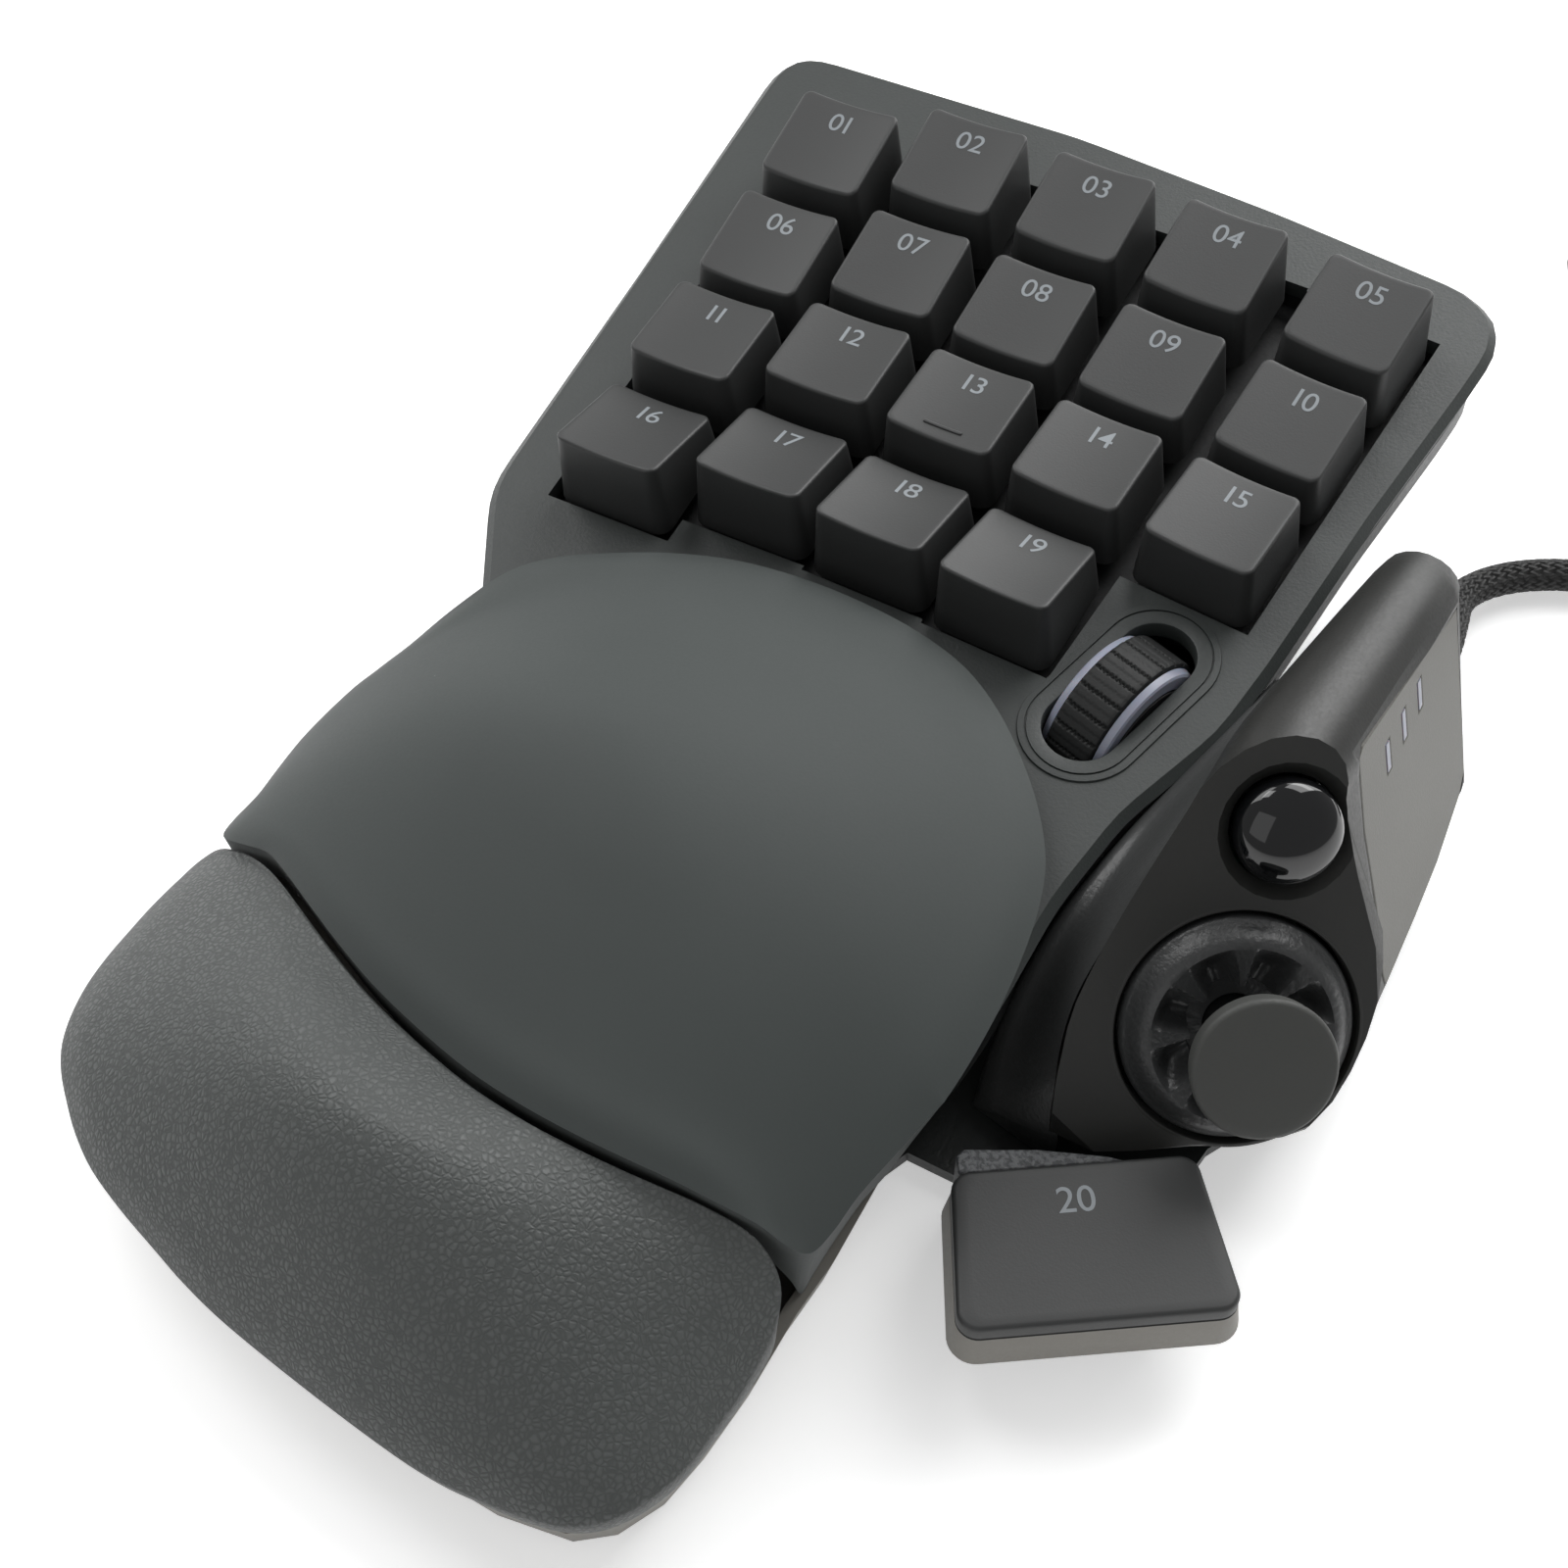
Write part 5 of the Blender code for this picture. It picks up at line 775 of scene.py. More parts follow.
def build_collar(finish):
    """Thin ring that lines the opening round the pad."""
    inner = PAD_OUTER + 0.5 * MM
    outer = PAD_OUTER + 1.15 * MM
    shape = turned([(inner, -3.2 * MM), (inner, -0.25 * MM), (inner + 0.2 * MM, 0.0),
                    (inner + 0.5 * MM, 0.03 * MM), (outer, -0.05 * MM), (outer, -3.2 * MM)],
                   steps=192)
    bmesh.ops.transform(shape, matrix=FACE, verts=shape.verts)
    to_piece("pad_collar", shape, finish, "base", (), 40.0)


def build_stick_cap(finish):
    """Round rubber cap of the stick, barely crowned, with a socket for the stem."""
    under = STICK_TOP - STICK_THICK
    socket = under + 1.9 * MM
    edge = 0.8 * MM
    profile = [(0.0, socket), (2.0 * MM, socket), (2.0 * MM, under)]
    profile += arc((STICK_RADIUS - 1.2 * MM, under + 0.9 * MM), 0.9 * MM, -90, 0, 5)
    profile += arc((STICK_RADIUS - edge, STICK_TOP - edge), edge, 0, 72, 6)
    steps = 10
    for index in range(1, steps + 1):
        left = 1 - index / steps
        profile.append(((STICK_RADIUS - edge) * left,
                        STICK_TOP - 0.02 * MM + STICK_CROWN * (1 - left ** 2)))
    shape = turned(profile, steps=128, closed=False)
    bmesh.ops.transform(shape, matrix=FACE, verts=shape.verts)
    to_piece("stick_cap_skin", shape, finish, "stick", ("stick_cap",), 40.0)


# Thumb key

PADDLE = (Matrix.Translation((53.0 * MM, -44.3 * MM, 17.0 * MM))
          @ Matrix.Rotation(math.radians(34.1), 4, "Z"))
PADDLE_FRONT = 32.2 * MM
PADDLE_REAR = 29.4 * MM
PADDLE_DEPTH = 19.8 * MM
PADDLE_HEIGHT = 7.6 * MM
PADDLE_STEM = 2.6 * MM
PADDLE_STEM_SHORT = 0.4 * MM
PADDLE_STEM_TURN = 6
PADDLE_CORNER = 2.5 * MM
PADDLE_SEAM = 2.45 * MM
PADDLE_LEGEND = Vector((-0.5 * MM, 5.0 * MM, 0.0))
PADDLE_LEGEND_HEIGHT = 3.4 * MM
CORNER_STEPS = 8
LEDGE_TOP = -3.0 * MM
LEDGE_THICK = 9.5 * MM

# Steps of the thumb key's side from its top edge down and in under it, in millimetres: how far
# each is drawn in from the outline, and its height
PADDLE_SIDE = (
    (0.6, 0.0), (0.35, -0.06), (0.12, -0.25), (0.0, -0.6), (-0.02, -2.1), (0.16, -2.2), (0.16, -2.4),
    (-0.05, -2.5), (-0.8, -7.2), (-0.65, -7.6), (0.7, -7.6), (1.5, -1.5),
)

# Corners of the cradle's ledge beside the thumb key, in millimetres
LEDGE_OUTLINE = ((-13.2, 11.2), (6.8, 11.2), (4.6, 12.0), (-3.3, 13.6), (-12.2, 14.4), (-13.2, 13.5))


def paddle_outline(shrink, height):
    """The thumb key's outline, wider at its front, with round corners, at one height."""
    front = PADDLE_FRONT / 2 - shrink
    rear = PADDLE_REAR / 2 - shrink
    deep = PADDLE_DEPTH / 2 - shrink
    corner = PADDLE_CORNER - shrink
    points = []
    for turn, (x, y) in enumerate(((front, -deep), (rear, deep), (-rear, deep), (-front, -deep))):
        for index in range(CORNER_STEPS + 1):
            angle = math.pi / 2 * (turn - 1 + index / CORNER_STEPS)
            points.append(Vector((x - math.copysign(corner, x) + corner * math.cos(angle),
                                  y - math.copysign(corner, y) + corner * math.sin(angle), height)))
    return points


def build_paddle(cap_finish, desk_lit_skirt_finish, print_finish):
    """Key 20: a wide hollow cap with round edges over a skirt painted paler, as light from the desk
    below, its number printed on top.
    """
    sides = [paddle_outline(shrink * MM, height * MM) for shrink, height in PADDLE_SIDE]
    count = len(sides[0])
    rows = [[Vector((0.0, 0.0, 0.0))] * count]
    rows += [[point * share for point in sides[0]] for share in (0.5, 0.9)]
    rows += sides
    stem_end = -PADDLE_HEIGHT + PADDLE_STEM_SHORT
    for height in (PADDLE_SIDE[-1][1] * MM, stem_end):
        row = []
        for index in range(count):
            angle = math.tau * (index - PADDLE_STEM_TURN) / count
            row.append(Vector((PADDLE_STEM * math.cos(angle), PADDLE_STEM * math.sin(angle), height)))
        rows.append(row)
    rows.append([Vector((0.0, 0.0, stem_end))] * count)
    shape = wrapped(rows)
    bmesh.ops.transform(shape, matrix=PADDLE, verts=shape.verts)
    cap = to_piece("keycap_20_skin", shape, cap_finish, "key_20", ("keycap_20",), 40.0)
    # Painted light: the skirt below the seam takes the pale finish for the light the desk throws up onto
    # it.
    cap.data.materials.append(desk_lit_skirt_finish)
    for face in cap.data.polygons:
        if face.center.z < PADDLE.translation.z - PADDLE_SEAM:
            face.material_index = 1
    printed_number("legend_20", "20", PADDLE_LEGEND_HEIGHT, print_finish, "key_20",
                   PADDLE @ Matrix.Translation(PADDLE_LEGEND), lambda x, y: 0.0)


def build_ledge(finish):
    """The cradle's pitted ledge that shows behind key 20."""
    shape = bmesh.new()
    corners = [shape.verts.new((x * MM, y * MM, LEDGE_TOP)) for x, y in LEDGE_OUTLINE]
    made = bmesh.ops.extrude_face_region(shape, geom=[shape.faces.new(corners)])["geom"]
    bmesh.ops.translate(shape, vec=(0.0, 0.0, -LEDGE_THICK),
                        verts=[part for part in made if isinstance(part, bmesh.types.BMVert)])
    bmesh.ops.recalc_face_normals(shape, faces=shape.faces)
    bmesh.ops.transform(shape, matrix=PADDLE, verts=shape.verts)
    to_piece("cradle_ledge", shape, finish, "base", (), 30.0, 0.3 * MM)


# Saddle between the deck and the thumb module

MODULE_BACK = Vector((38.5 * MM, 53.0 * MM, 0.0))
MODULE_WIDTH = 36.0 * MM
MODULE_LENGTH = 84.5 * MM
MODULE_HEIGHT = 53.0 * MM
SADDLE_LOWEST = 4.0 * MM
SADDLE_DEPTH = 4.0 * MM
SHOULDER_DROP = 2.0 * MM
SHOULDER_SHARE = 0.22
HOLLOW_DEPTH = 2.4 * MM
HOLLOW_FULL_HEIGHT = 20 * MM
HOLLOW_LEAN = 0.75

# Rows from its back to its foot, in shares of the module's sizes: x, y and height at the groove
# beside the deck, then at the rim of the face
SADDLE_ROWS = (
    (0.139, 0.289, 0.691, 0.264, 0.361, 0.811),
    (0.069, 0.402, 0.675, 0.242, 0.509, 0.896),
    (0.008, 0.509, 0.657, 0.214, 0.604, 0.921),
    (-0.044, 0.592, 0.640, 0.169, 0.675, 0.855),
    (-0.100, 0.698, 0.611, 0.114, 0.751, 0.749),
    (-0.147, 0.787, 0.557, 0.075, 0.824, 0.640),
    (-0.181, 0.858, 0.443, 0.047, 0.895, 0.528),
    (-0.203, 0.917, 0.264, 0.069, 0.954, 0.377),
    (-0.203, 0.959, 0.104, 0.139, 0.988, 0.189),
)


def build_saddle(finish):
    """The curved saddle: a rounded shoulder beside the deck, then a hollow up to the face's rim."""
    sides = []
    for first in (0, 3):
        line = [MODULE_BACK + Vector((row[first] * MODULE_WIDTH, -row[first + 1] * MODULE_LENGTH,
                                      row[first + 2] * MODULE_HEIGHT)) for row in SADDLE_ROWS]
        sides.append(through(line, 6))
    rows = []
    across = 20
    for left, right in zip(*sides):
        foot = max(SADDLE_LOWEST, min(left.z, right.z) - SADDLE_DEPTH)
        ring = [Vector((left.x, left.y, foot))]
        full = min(1.0, left.z / HOLLOW_FULL_HEIGHT)
        for index in range(across + 1):
            share = index / across
            spot = left.lerp(right, share)
            shoulder = SHOULDER_DROP * (1 - min(1.0, share / SHOULDER_SHARE)) ** 2
            hollow = HOLLOW_DEPTH * math.sin(math.pi * share ** HOLLOW_LEAN) ** 2 * full
            spot.z -= hollow + shoulder
            ring.append(spot)
        ring.append(Vector((right.x, right.y, foot)))
        rows.append(ring)
    count = len(rows[0])
    ends = [sum(row, Vector()) / count for row in (rows[0], rows[-1])]
    shape = wrapped([[ends[0]] * count] + rows + [[ends[1]] * count])
    to_piece("module_saddle_skin", shape, finish, "base", ("module_saddle",), 50.0)


# Palm rest

PALM_X = -18.0 * MM
PALM_Y = -46.5 * MM
PALM_WIDTH = 105.0 * MM
PALM_LENGTH = 113.0 * MM
PALM_HEIGHT = 51.0 * MM
PALM_WALL = 2.2 * MM
PALM_RIM = 0.5 * MM
CUSHION_FOOT = 8.8 * MM
CUSHION_DRAW = 3.0 * MM

# A crown's fullness, its rounds of evening per level squared, and the finer steps of its rings
CROWN_FULLNESS = 0.85
EVENING = 2
AROUND = 4
CLIMB = 4

# Edge of the dome in shares of the palm rest's sizes: x, y, edge height, lower height, draw of the foot
DOME_EDGE = (
    (-0.382, 0.268, 0.600, 0.575, 0.010), (-0.305, 0.372, 0.735, 0.700, 0.010),
    (-0.205, 0.442, 0.765, 0.706, 0.010), (-0.052, 0.491, 0.800, 0.715, 0.010),
    (0.119, 0.500, 0.810, 0.720, 0.010), (0.271, 0.473, 0.800, 0.712, 0.010),
    (0.386, 0.394, 0.780, 0.690, 0.010), (0.467, 0.296, 0.745, 0.667, 0.010),
    (0.495, 0.190, 0.710, 0.640, 0.010), (0.500, 0.092, 0.670, 0.620, 0.010),
    (0.494, 0.024, 0.630, 0.605, 0.010), (0.489, 0.008, 0.620, 0.175, 0.058),
    (0.457, -0.093, 0.545, 0.175, 0.038), (0.438, -0.160, 0.490, 0.175, 0.024),
    (0.386, -0.177, 0.590, 0.400, 0.010), (0.290, -0.190, 0.660, 0.500, 0.010),
    (0.176, -0.199, 0.690, 0.520, 0.010), (0.043, -0.190, 0.690, 0.520, 0.010),
    (-0.119, -0.146, 0.655, 0.500, 0.010), (-0.262, -0.084, 0.600, 0.450, 0.010),
    (-0.367, -0.035, 0.520, 0.380, 0.010), (-0.470, -0.010, 0.380, 0.175, 0.012),
    (-0.478, 0.058, 0.360, 0.175, 0.014), (-0.472, 0.142, 0.400, 0.175, 0.014),
    (-0.444, 0.208, 0.470, 0.175, 0.014), (-0.420, 0.234, 0.520, 0.200, 0.012),
)
DOME_APEX = (0.005, 0.164, 0.985)
DOME_RINGS = (0.0, 0.05, 0.13, 0.27, 0.45, 0.68, 0.88)

# Edge of the wrist cushion in the same shares: x, y and edge height
CUSHION_EDGE = (
    (-0.474, -0.016, 0.345), (-0.367, -0.042, 0.490), (-0.262, -0.090, 0.575),
    (-0.119, -0.152, 0.635), (0.043, -0.196, 0.670), (0.176, -0.205, 0.670),
    (0.290, -0.196, 0.640), (0.386, -0.183, 0.565), (0.432, -0.203, 0.450),
    (0.438, -0.261, 0.360), (0.433, -0.332, 0.340), (0.422, -0.394, 0.330),
    (0.390, -0.451, 0.320), (0.338, -0.485, 0.310), (0.243, -0.500, 0.300),
    (0.138, -0.501, 0.300), (-0.086, -0.475, 0.300), (-0.213, -0.445, 0.300),
    (-0.337, -0.405, 0.300), (-0.420, -0.354, 0.300), (-0.475, -0.301, 0.300),
    (-0.503, -0.228, 0.300), (-0.506, -0.150, 0.305), (-0.499, -0.070, 0.315),
)
CUSHION_APEX = (0.00, -0.290, 0.735)
CUSHION_RINGS = (0.0, 0.06, 0.15, 0.30, 0.50, 0.72, 0.90)

# The cushion's cloth pass
CLOTH_INSET = 0.5 * MM
CLOTH_VOXEL = 2.6 * MM
CLOTH_PINNED = 2.5 * MM
CLOTH_PRESSURE = 4.0
CLOTH_STIFFNESS = 40.0
CLOTH_FRAMES = 20
CLOTH_REACH = 5 * MM
RISE_ROUNDS = 60
RISE_LOWEST = -0.3 * MM
RISE_HIGHEST = 0.5 * MM
RISE_FADE = 5 * MM


def palm_point(x, y, z=0.0):
    return PALM_X + x * PALM_WIDTH, PALM_Y + y * PALM_LENGTH, z * PALM_HEIGHT


def inset(outline, distances):
    """Move an outline inward by one distance for each of its points."""
    turn = sum(a[0] * b[1] - b[0] * a[1] for a, b in zip(outline, outline[1:] + outline[:1]))
    moved = []
    for index, point in enumerate(outline):
        here = Vector(point)
        before = (here - Vector(outline[index - 1])).normalized()
        after = (Vector(outline[(index + 1) % len(outline)]) - here).normalized()
        inward = Vector((-before.y - after.y, before.x + after.x)) * math.copysign(1.0, turn)
        inward.normalize()
        share = max(0.5, abs(inward.dot(Vector((-after.y, after.x)))))
        moved.append(tuple(here + inward * (distances[index] / share)))
    return moved


def crown_rings(outline, heights, apex, shares, sink=0.0):
    """Rings that climb from an edge to a crown along a sine, evened out on the way up."""
    rings = []
    for level, share in enumerate(shares):
        rise = math.sin(share * math.pi / 2) ** CROWN_FULLNESS if share else 0.0
        rows = [(x, y, edge) for (x, y), edge in zip(outline, heights)]
        for _ in range(EVENING * level * level):
            rows = [tuple((a + 2 * b + c) / 4 for a, b, c in zip(rows[index - 1], rows[index],
                                                                 rows[(index + 1) % len(rows)]))
                    for index in range(len(rows))]
        rings.append([(x + (apex[0] - x) * share, y + (apex[1] - y) * share,
                       edge + (apex[2] - edge) * rise - sink) for x, y, edge in rows])
    return rings


def fine_loop(ring):
    return [Vector(point) for point in smooth_loop(ring, AROUND)]


def climbing(rings, apex):
    """The rings of a crown with smooth ones between, from its edge up to its apex."""
    rings = [fine_loop(ring) for ring in rings]
    count = len(rings[0])
    columns = []
    for index in range(count):
        across = (index + count // 2) % count
        line = [ring[index] for ring in rings] + [Vector(apex), rings[-1][across], rings[-2][across]]
        columns.append(through(line, CLIMB)[:len(rings) * CLIMB + 1])
    return [list(ring) for ring in zip(*columns)]


def build_dome(finish):
    """The lacquered dome, an open shell that overhangs the front of the deck."""
    rows = smooth_loop(DOME_EDGE, 2)
    outline = [palm_point(row[0], row[1])[:2] for row in rows]
    edges = [row[2] * PALM_HEIGHT for row in rows]
    lows = []
    for here, after in zip(DOME_EDGE, DOME_EDGE[1:] + DOME_EDGE[:1]):
        lows += [here[3] * PALM_HEIGHT, (here[3] + after[3]) / 2 * PALM_HEIGHT]
    draws = [row[4] * PALM_WIDTH for row in rows]
    apex = palm_point(*DOME_APEX)
    outer = climbing(crown_rings(outline, edges, apex, DOME_RINGS), apex)
    walls = [PALM_WALL] * len(outline)
    inner = [fine_loop(ring) for ring in crown_rings(inset(outline, walls), edges, apex,
                                                     DOME_RINGS, PALM_WALL)]
    under = Vector(apex) - Vector((0.0, 0.0, PALM_WALL))
    feet = []
    for wall, lift in ((0.0, PALM_RIM), (PALM_RIM, 0.0), (PALM_WALL - PALM_RIM, 0.0),
                       (PALM_WALL, PALM_RIM)):
        ring = inset(outline, [draw + wall for draw in draws])
        feet.append(fine_loop([(x, y, low + lift) for (x, y), low in zip(ring, lows)]))
    shape = wrapped(outer[::-1] + feet + inner + [[under] * len(inner[0])])
    to_piece("palm_dome_skin", shape, finish, "palm_rest", ("palm_dome",), 50.0)


def build_cushion(finish):
    """Leather wrist cushion, swelled by its foam as a cloth pass says."""
    rows = smooth_loop(CUSHION_EDGE, 2)
    outline = [palm_point(row[0], row[1])[:2] for row in rows]
    edges = [row[2] * PALM_HEIGHT for row in rows]
    apex = palm_point(*CUSHION_APEX)
    crown = climbing(crown_rings(outline, edges, apex, CUSHION_RINGS), apex)
    feet = []
    for draw, height in ((CUSHION_DRAW / 4, CUSHION_FOOT + CUSHION_DRAW), (CUSHION_DRAW, CUSHION_FOOT),
                         (CUSHION_DRAW * 4, CUSHION_FOOT)):
        feet.append(fine_loop([(*point, height) for point in inset(outline, [draw] * len(outline))]))
    bottom = Vector((apex[0], apex[1], CUSHION_FOOT))
    shape = wrapped(crown[::-1] + feet + [[bottom] * len(crown[0])])
    floor = min(vert.co.z for vert in shape.verts)
    item = meshed("wrist_cushion_skin", shape)
    swell(item, floor)
    item.data.shade_smooth()
    item.data.materials.append(finish)
    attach(item, "palm_rest")
    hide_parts("wrist_cushion")


def blown_skin(mesh, floor):
    """A remeshed copy of the cushion, blown up as a cloth skin that is pinned at its foot."""
    skin = link("cushion_cloth", mesh.copy())
    for vert in skin.data.vertices:
        vert.co = vert.co - vert.normal * CLOTH_INSET
    voxel = skin.modifiers.new("voxel", "REMESH")
    voxel.mode = "VOXEL"
    voxel.voxel_size = CLOTH_VOXEL
    apply_modifiers(skin)
    pins = skin.vertex_groups.new(name="foot")
    low = [vert.index for vert in skin.data.vertices if vert.co.z < floor + CLOTH_PINNED]
    pins.add(low, 1.0, "REPLACE")
    start = [vert.co.copy() for vert in skin.data.vertices]
    cloth = skin.modifiers.new("cloth", "CLOTH")
    cloth.settings.use_pressure = True
    cloth.settings.uniform_pressure_force = CLOTH_PRESSURE
    cloth.settings.vertex_group_mass = "foot"
    cloth.settings.effector_weights.gravity = 0.0
    cloth.settings.tension_stiffness = CLOTH_STIFFNESS
    cloth.settings.compression_stiffness = CLOTH_STIFFNESS
    cloth.point_cache.frame_start = 1
    cloth.point_cache.frame_end = CLOTH_FRAMES
    scene = bpy.context.scene
    for number in range(1, CLOTH_FRAMES + 1):
        scene.frame_set(number)
    apply_modifiers(skin)
    scene.frame_set(1)
    for vert, before in zip(skin.data.vertices, start):
        move = vert.co - before
        if move.length > CLOTH_REACH:
            vert.co = before + move.normalized() * CLOTH_REACH
    blown = bmesh.new()
    blown.from_mesh(skin.data)
    bpy.data.objects.remove(skin)
    tree = BVHTree.FromBMesh(blown)
    blown.free()
    return tree


def swell(item, floor):
    """Raise the cushion by what the cloth skin rises, evened out and fading to none at its foot."""
    tree = blown_skin(item.data, floor)
    shape = bmesh.new()
    shape.from_mesh(item.data)
    shape.normal_update()
    beside = [[edge.other_vert(vert).index for edge in vert.link_edges] for vert in shape.verts]
    rise = [(tree.find_nearest(vert.co)[0] - vert.co).dot(vert.normal) for vert in shape.verts]
    for _ in range(RISE_ROUNDS):
        rise = [(lift + sum(rise[other] for other in near) / len(near)) / 2
                for lift, near in zip(rise, beside)]
    middle = sum(rise) / len(rise)
    for vert, lift in zip(shape.verts, rise):
        free = min(1.0, (vert.co.z - floor) / RISE_FADE)
        vert.co += vert.normal * free * max(RISE_LOWEST, min(RISE_HIGHEST, lift - middle))
    shape.to_mesh(item.data)
    shape.free()


# Cord, laid where the frame's cord lies

CORD_RADIUS = 2.5 * MM
CORD_ROUTE = (
    (0.0585, 0.0649, 0.0090), (0.0582, 0.0700, 0.0085), (0.0574, 0.0760, 0.0070),
    (0.0567, 0.0815, 0.0053), (0.0575, 0.0862, 0.0042), (0.0603, 0.0910, 0.0034),
    (0.0646, 0.0949, 0.0031), (0.0705, 0.0980, 0.0031), (0.0800, 0.1010, 0.0032),
    (0.0920, 0.1030, 0.0034), (0.1060, 0.1040, 0.0036), (0.1190, 0.1047, 0.0036),
    (0.1321, 0.1075, 0.0036),
)
GAP = 0.3 * MM
COIL_X = 135.0 * MM
COIL_Y = 152.0 * MM
COIL_START = math.radians(-70.0)
COIL_OUTER = 41.0 * MM
COIL_TURN_STEP = 5.7 * MM
COIL_LAYER = 5.8 * MM
COIL_LOOPS = 4.5
COIL_POINTS = 24
TAIL_LENGTH = 34.0 * MM
TAIL_POINTS = 7
TAIL_FALL = 1.2
TIE_WALL = 0.8 * MM
PLUG_HEIGHT = 7.6 * MM
CORD_STEP = 0.28 * MM
CORD_SKIP = 8
CORD_SHOWN = 95.0 * MM
CORD_FADE = 5 * MM
CORD_EASE = 0.06 * MM
DENSE_STEPS = 20


def coil_points():
    """One unbroken run: spiral in on the desk, climb a layer, spiral out and come down beside it."""
    low = TIE_WALL + GAP + CORD_RADIUS
    points = []
    layer_points = round(COIL_LOOPS * COIL_POINTS)
    for index in range(layer_points + 1):
        share = index / COIL_POINTS
        points.append((COIL_OUTER - COIL_TURN_STEP * share, COIL_START + math.tau * share, low))
    inner, angle = points[-1][0], points[-1][1]
    half = COIL_POINTS // 2
    for index in range(1, half + 1):
        share = index / half
        rise = (1 - math.cos(math.pi * share)) / 2
        dip = COIL_TURN_STEP / math.tau * math.sin(math.pi * share)
        points.append((inner - dip, angle + math.pi * share, low + COIL_LAYER * rise))
    angle = points[-1][1]
    for index in range(1, layer_points + 1):
        share = index / COIL_POINTS
        points.append((inner + COIL_TURN_STEP * share, angle + math.tau * share, low + COIL_LAYER))
    placed = [Vector((COIL_X + r * math.cos(a), COIL_Y + r * math.sin(a), z)) for r, a, z in points]
    entry = Vector((-math.sin(COIL_START), math.cos(COIL_START), 0.0))
    last_angle = points[-1][1]
    away = Vector((-math.sin(last_angle), math.cos(last_angle), 0.0))
    rest = PLUG_HEIGHT / 2 + GAP
    for index in range(1, TAIL_POINTS + 1):
        share = index / TAIL_POINTS
        fall = (1 - math.cos(math.pi * min(1.0, share * TAIL_FALL))) / 2
        spot = placed[layer_points * 2 + half] + away * TAIL_LENGTH * share
        spot.z = low + COIL_LAYER + (rest - low - COIL_LAYER) * fall
        placed.append(spot)
    return [placed[0] - entry * CORD_RADIUS * 2] + placed


def even_path(points, step):
    """A smooth curve through points, read at an even step, and its length."""
    dense = []
    for index in range(len(points) - 1):
        a = Vector(points[max(index - 1, 0)])
        b = Vector(points[index])
        c = Vector(points[index + 1])
        d = Vector(points[min(index + 2, len(points) - 1)])
        for part in range(DENSE_STEPS):
            dense.append(between(a, b, c, d, part / DENSE_STEPS))
    dense.append(Vector(points[-1]))
    lengths = [0.0]
    for before, after in zip(dense, dense[1:]):
        lengths.append(lengths[-1] + (after - before).length)
    count = max(2, round(lengths[-1] / step))
    result = []
    cursor = 0
    for index in range(count + 1):
        want = lengths[-1] * index / count
        while cursor < len(dense) - 2 and lengths[cursor + 1] < want:
            cursor += 1
        span = lengths[cursor + 1] - lengths[cursor]
        share = (want - lengths[cursor]) / span if span else 0.0
        result.append(dense[cursor].lerp(dense[cursor + 1], min(1.0, share)))
    return result, lengths[-1]


def braid_height(turn, along):
    """Height of the braid, 0 to 1, at a share of a turn and a length along the cord."""
    one = BRAID_STRANDS * turn + along / BRAID_PITCH
    other = BRAID_STRANDS * turn - along / BRAID_PITCH
    over = (math.floor(one) + math.floor(other)) % 2
    part = other if over else one
    return math.sin(math.pi * (part - math.floor(part)))


def cord_rows(path, sides, shown):
    """Rings round a path, braided as far as the shown length, and where each lies along it."""
    before = (path[1] - path[0]).normalized()
    side = before.orthogonal().normalized()
    along = 0.0
    rows = [[path[0]] * sides]
    marks = [0.0]
    for index, spot in enumerate(path):
        ahead = (path[min(index + 1, len(path) - 1)] - path[max(index - 1, 0)]).normalized()
        side.rotate(before.rotation_difference(ahead))
        before = ahead
        along += (spot - path[max(index - 1, 0)]).length
        up = ahead.cross(side)
        fade = min(1.0, max(0.0, (shown - along) / CORD_FADE))
        ring = []
        for part in range(sides):
            angle = math.tau * part / sides
            low = BRAID_RELIEF * fade * (1 - braid_height(part / sides, along))
            way = side * math.cos(angle) + up * math.sin(angle)
            ring.append(spot + way * (CORD_RADIUS - CORD_EASE - low))
        rows.append(ring)
        marks.append(along)
    rows.append([path[-1]] * sides)
    marks.append(along)
    return rows, [mark / along for mark in marks]


def build_cord():
    """The braided cord from the strain relief to the plug, its strands modelled where it is seen."""
    route = [Vector(point) for point in CORD_ROUTE]
    fine, length = even_path(route + coil_points(), CORD_STEP)
    shown = round(CORD_SHOWN / CORD_STEP)
    path = fine[:shown] + fine[shown:-1:CORD_SKIP] + fine[-1:]
    rows, marks = cord_rows(path, BRAID_STRANDS * 4, CORD_SHOWN)
    item = meshed("cable_skin", wrapped(rows, marks))
    item.data.materials.append(braided_nylon("braided_nylon", length))
    item.data.shade_smooth()
    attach(item, "base")
    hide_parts("cable_run", "cable_coil")
    return item, path, length


# Floor, background and lamps

FLOOR_HALF = 5.0
FLOOR_GLOW = 0.45
SKY_STRENGTH = 0.31
LAMP_TARGET = Vector((0.0, 0.0, 20 * MM))

# Each lamp's place, width in metres and power in watts
LAMPS = {
    "back_lamp": ((0.12, 0.98, 0.6), 0.8, 7.0),
    "left_lamp": ((-0.8, 0.25, 0.68), 0.7, 4.0),
    "top_lamp": ((0.17, 0.74, 1.0), 0.7, 5.0),
    "front_lamp": ((-0.1, -1.0, 0.7), 0.8, 1.2),
    "high_lamp": ((-0.47, 0.1, 0.87), 0.3, 1.1),
}


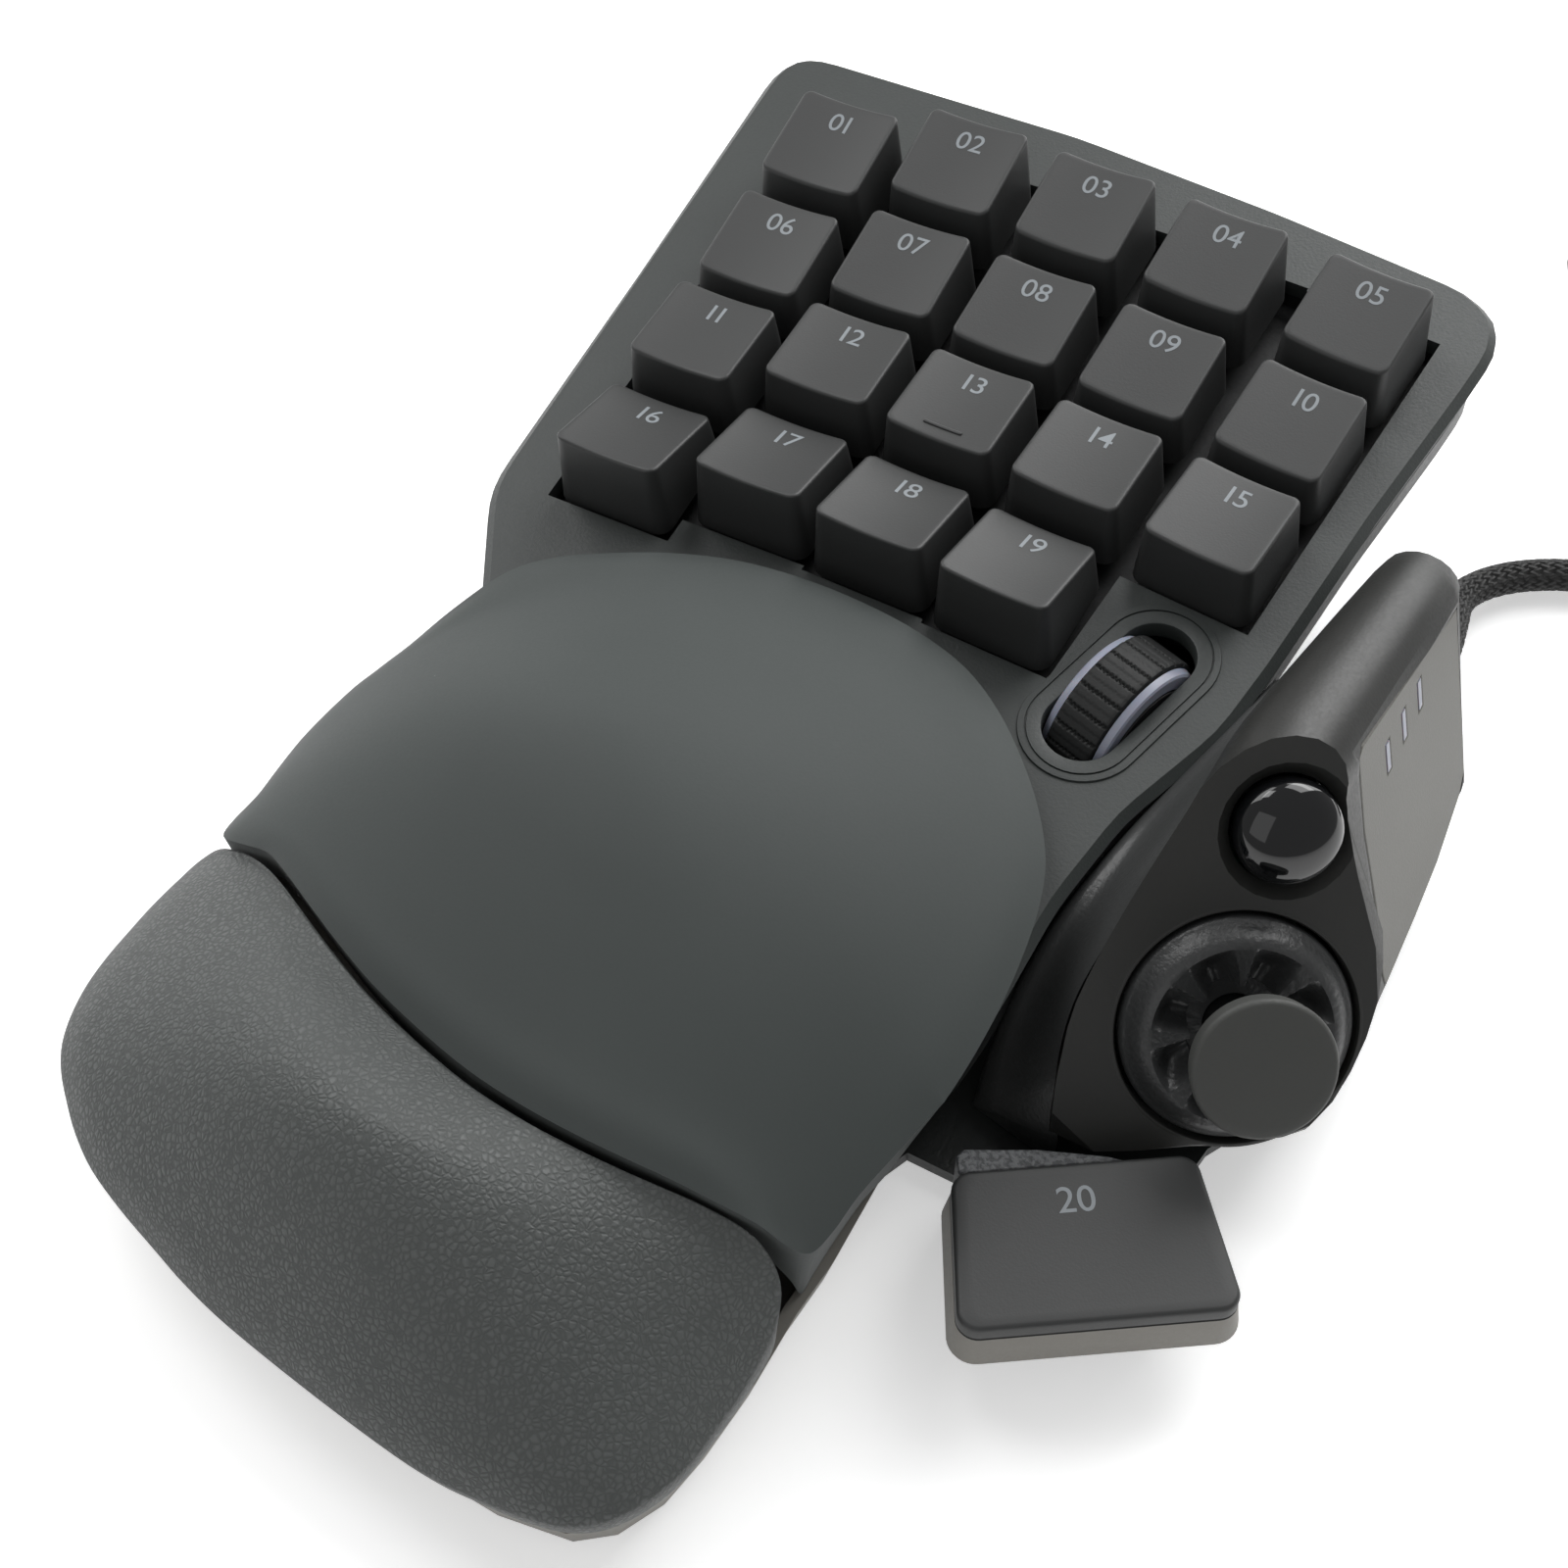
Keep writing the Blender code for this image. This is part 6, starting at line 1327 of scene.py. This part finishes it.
def white_paper():
    """Matt white paper: a pale grey that takes the shadow, and glows white where it is looked at."""
    made, tree, shader = plain_material(
        "white_paper", {"Roughness": 0.9, "Specular IOR Level": 0.1,
                        "Emission Color": (1.0, 1.0, 1.0, 1.0)})
    rays = add(tree, "LightPath").outputs
    direct = add(tree, "Math", {0: rays["Is Camera Ray"], 1: rays["Is Glossy Ray"]},
                 operation="MAXIMUM")
    sight = add(tree, "Math", {0: direct.outputs[0], 1: rays["Is Transmission Ray"]},
                operation="MAXIMUM")
    glow = add(tree, "Math", {0: sight.outputs[0], 1: FLOOR_GLOW}, operation="MULTIPLY")
    tree.links.new(glow.outputs[0], shader.inputs["Emission Strength"])
    feed(tree, shader, (sight.outputs[0], "#dedede", "#fdfdfd"))
    return made


def set_floor():
    """A wide plain floor, part of the stage and not of the keypad."""
    shape = bmesh.new()
    bmesh.ops.create_grid(shape, x_segments=1, y_segments=1, size=FLOOR_HALF)
    floor = meshed("floor", shape)
    floor.data.materials.append(white_paper())


def set_lights():
    """A plain sky and soft square lamps, each turned to the keypad."""
    world = bpy.data.worlds.new("studio")
    bpy.context.scene.world = world
    world.use_nodes = True
    sky = world.node_tree.nodes["Background"]
    sky.inputs["Color"].default_value = (1.0, 1.0, 1.0, 1.0)
    sky.inputs["Strength"].default_value = SKY_STRENGTH
    for name, (place, size, power) in LAMPS.items():
        data = bpy.data.lights.new(name, "AREA")
        data.shape = "SQUARE"
        data.size = size
        data.energy = power
        turn = (Vector(place) - LAMP_TARGET).to_track_quat("Z", "Y").to_matrix().to_4x4()
        link(name, data).matrix_world = Matrix.Translation(place) @ turn


# The camera and the cord come first, then the materials and the pieces

set_camera()
foot_rubber = rubber("foot_rubber", "#161617", 0.8)
dressed("plug_body", foot_rubber, "base", 0.8 * MM)
cord, cord_path, cord_length = build_cord()

deck_abs = moulded_plastic("moulded_abs_fine", "#333736", "#3b3f3e", 0.50, 0.42, 0.035)
body_abs = moulded_plastic("moulded_abs_body", "#262928", "#2d302f", 0.44, 0.55, 0.06)
cap_abs = moulded_plastic("satin_abs_keycap", "#333434", "#393a3a", 0.48, 0.30, 0.012, 0.06)
inner_abs = moulded_plastic("black_abs_inner", "#141516", "#191a1b", 0.6, 0.5, 0.02)
pad_abs = moulded_plastic("textured_abs_pad", "#2c2d2e", "#404141", 0.36, 0.7, 0.10)
# The last number of the plate's and the cradle's finish is how strongly shade and highlight are painted
# into their pits.
plate_abs = moulded_plastic("satin_grey_plate", "#65645e", "#706f69", 0.46, 0.35, 0.03, 0.12, 0.5)
module_abs = moulded_plastic("satin_abs_module", "#242524", "#2c2c2a", 0.44, 0.45, 0.02)
# Painted light: the saddle's satin ABS is made paler than the module's and the body's, for the highlight
# that falls along it.
saddle_abs_painted_light = moulded_plastic("satin_abs_saddle", "#393a3a", "#444545", 0.34, 0.55, 0.05)
# Pale finish; on key 20's skirt it stands for painted light from the desk below.
tray_abs = moulded_plastic("pale_abs_tray", "#8a8781", "#95928b", 0.55, 0.5, 0.02)
cradle_abs = moulded_plastic("pitted_abs_cradle", "#4a4c4e", "#717375", 0.55, 0.7, 0.12, 0.12, 0.9)
palm_soft = soft_touch("soft_touch_lacquer")
leather = leatherette("leatherette")
cap_rubber = rubber("stick_rubber", "#484947", 0.55)
tread_rubber = rubber("tread_rubber", "#252626", 0.6)
acrylic = gloss_acrylic("black_acrylic")
frosted = milky_polycarbonate("frosted_polycarbonate", "#9fa3b4")
steel = satin_steel("satin_steel")
laminate = green_laminate("green_laminate")
ink = moulded_plastic("pad_printed_ink", "#858b90", "#92989c", 0.5, 0.4, 0.004, 0.05)

build_keys(cap_abs, ink)
build_wheel(tread_rubber, frosted)
build_bezel(deck_abs)
build_button(acrylic)
build_pad(pad_abs)
build_collar(module_abs)
build_stick_cap(cap_rubber)
build_paddle(cap_abs, tray_abs, ink)
build_ledge(cradle_abs)
build_saddle(saddle_abs_painted_light)
build_dome(palm_soft)
build_cushion(leather)
dressed("top_shell", deck_abs, "base", 0.5 * MM)
dressed("rear_housing", body_abs, "base", 0.5 * MM)
dressed("thumb_module_shell", module_abs, "base", 0.9 * MM, 24.0)
dressed("thumb_side_plate", plate_abs, "base", 0.3 * MM)
dressed("palm_rest_tray", tray_abs, "palm_rest", 0.4 * MM)
dressed("cord_strain_relief", foot_rubber, "base", 0.3 * MM)

# Inner and small pieces that keep their solids and take a finish
CARRIED = {
    "base_plate": body_abs, "key_guide_plate": inner_abs, "main_circuit_board": laminate,
    "wheel_bracket": steel, "mode_light_pipe": frosted, "stick_sensor": inner_abs,
    "thumb_circuit_board": laminate, "thumb_key_cradle": cradle_abs, "foot_rear_left": foot_rubber,
    "foot_rear_right": foot_rubber, "foot_front_right": foot_rubber, "base_screw": steel,
    "cable_tie": foot_rubber, "plug_shell": steel, "wheel_hub": inner_abs,
    "gimbal_ring": steel, "stick_stem": inner_abs, "slide_tongue_left": steel,
    "slide_tongue_right": steel, "foot_palm_left": foot_rubber, "foot_palm_right": foot_rubber,
}
for node, finish in CARRIED.items():
    nodes[node].data.materials.clear()
    nodes[node].data.materials.append(finish)

set_floor()
set_lights()
bpy.context.scene.view_settings.view_transform = "Standard"
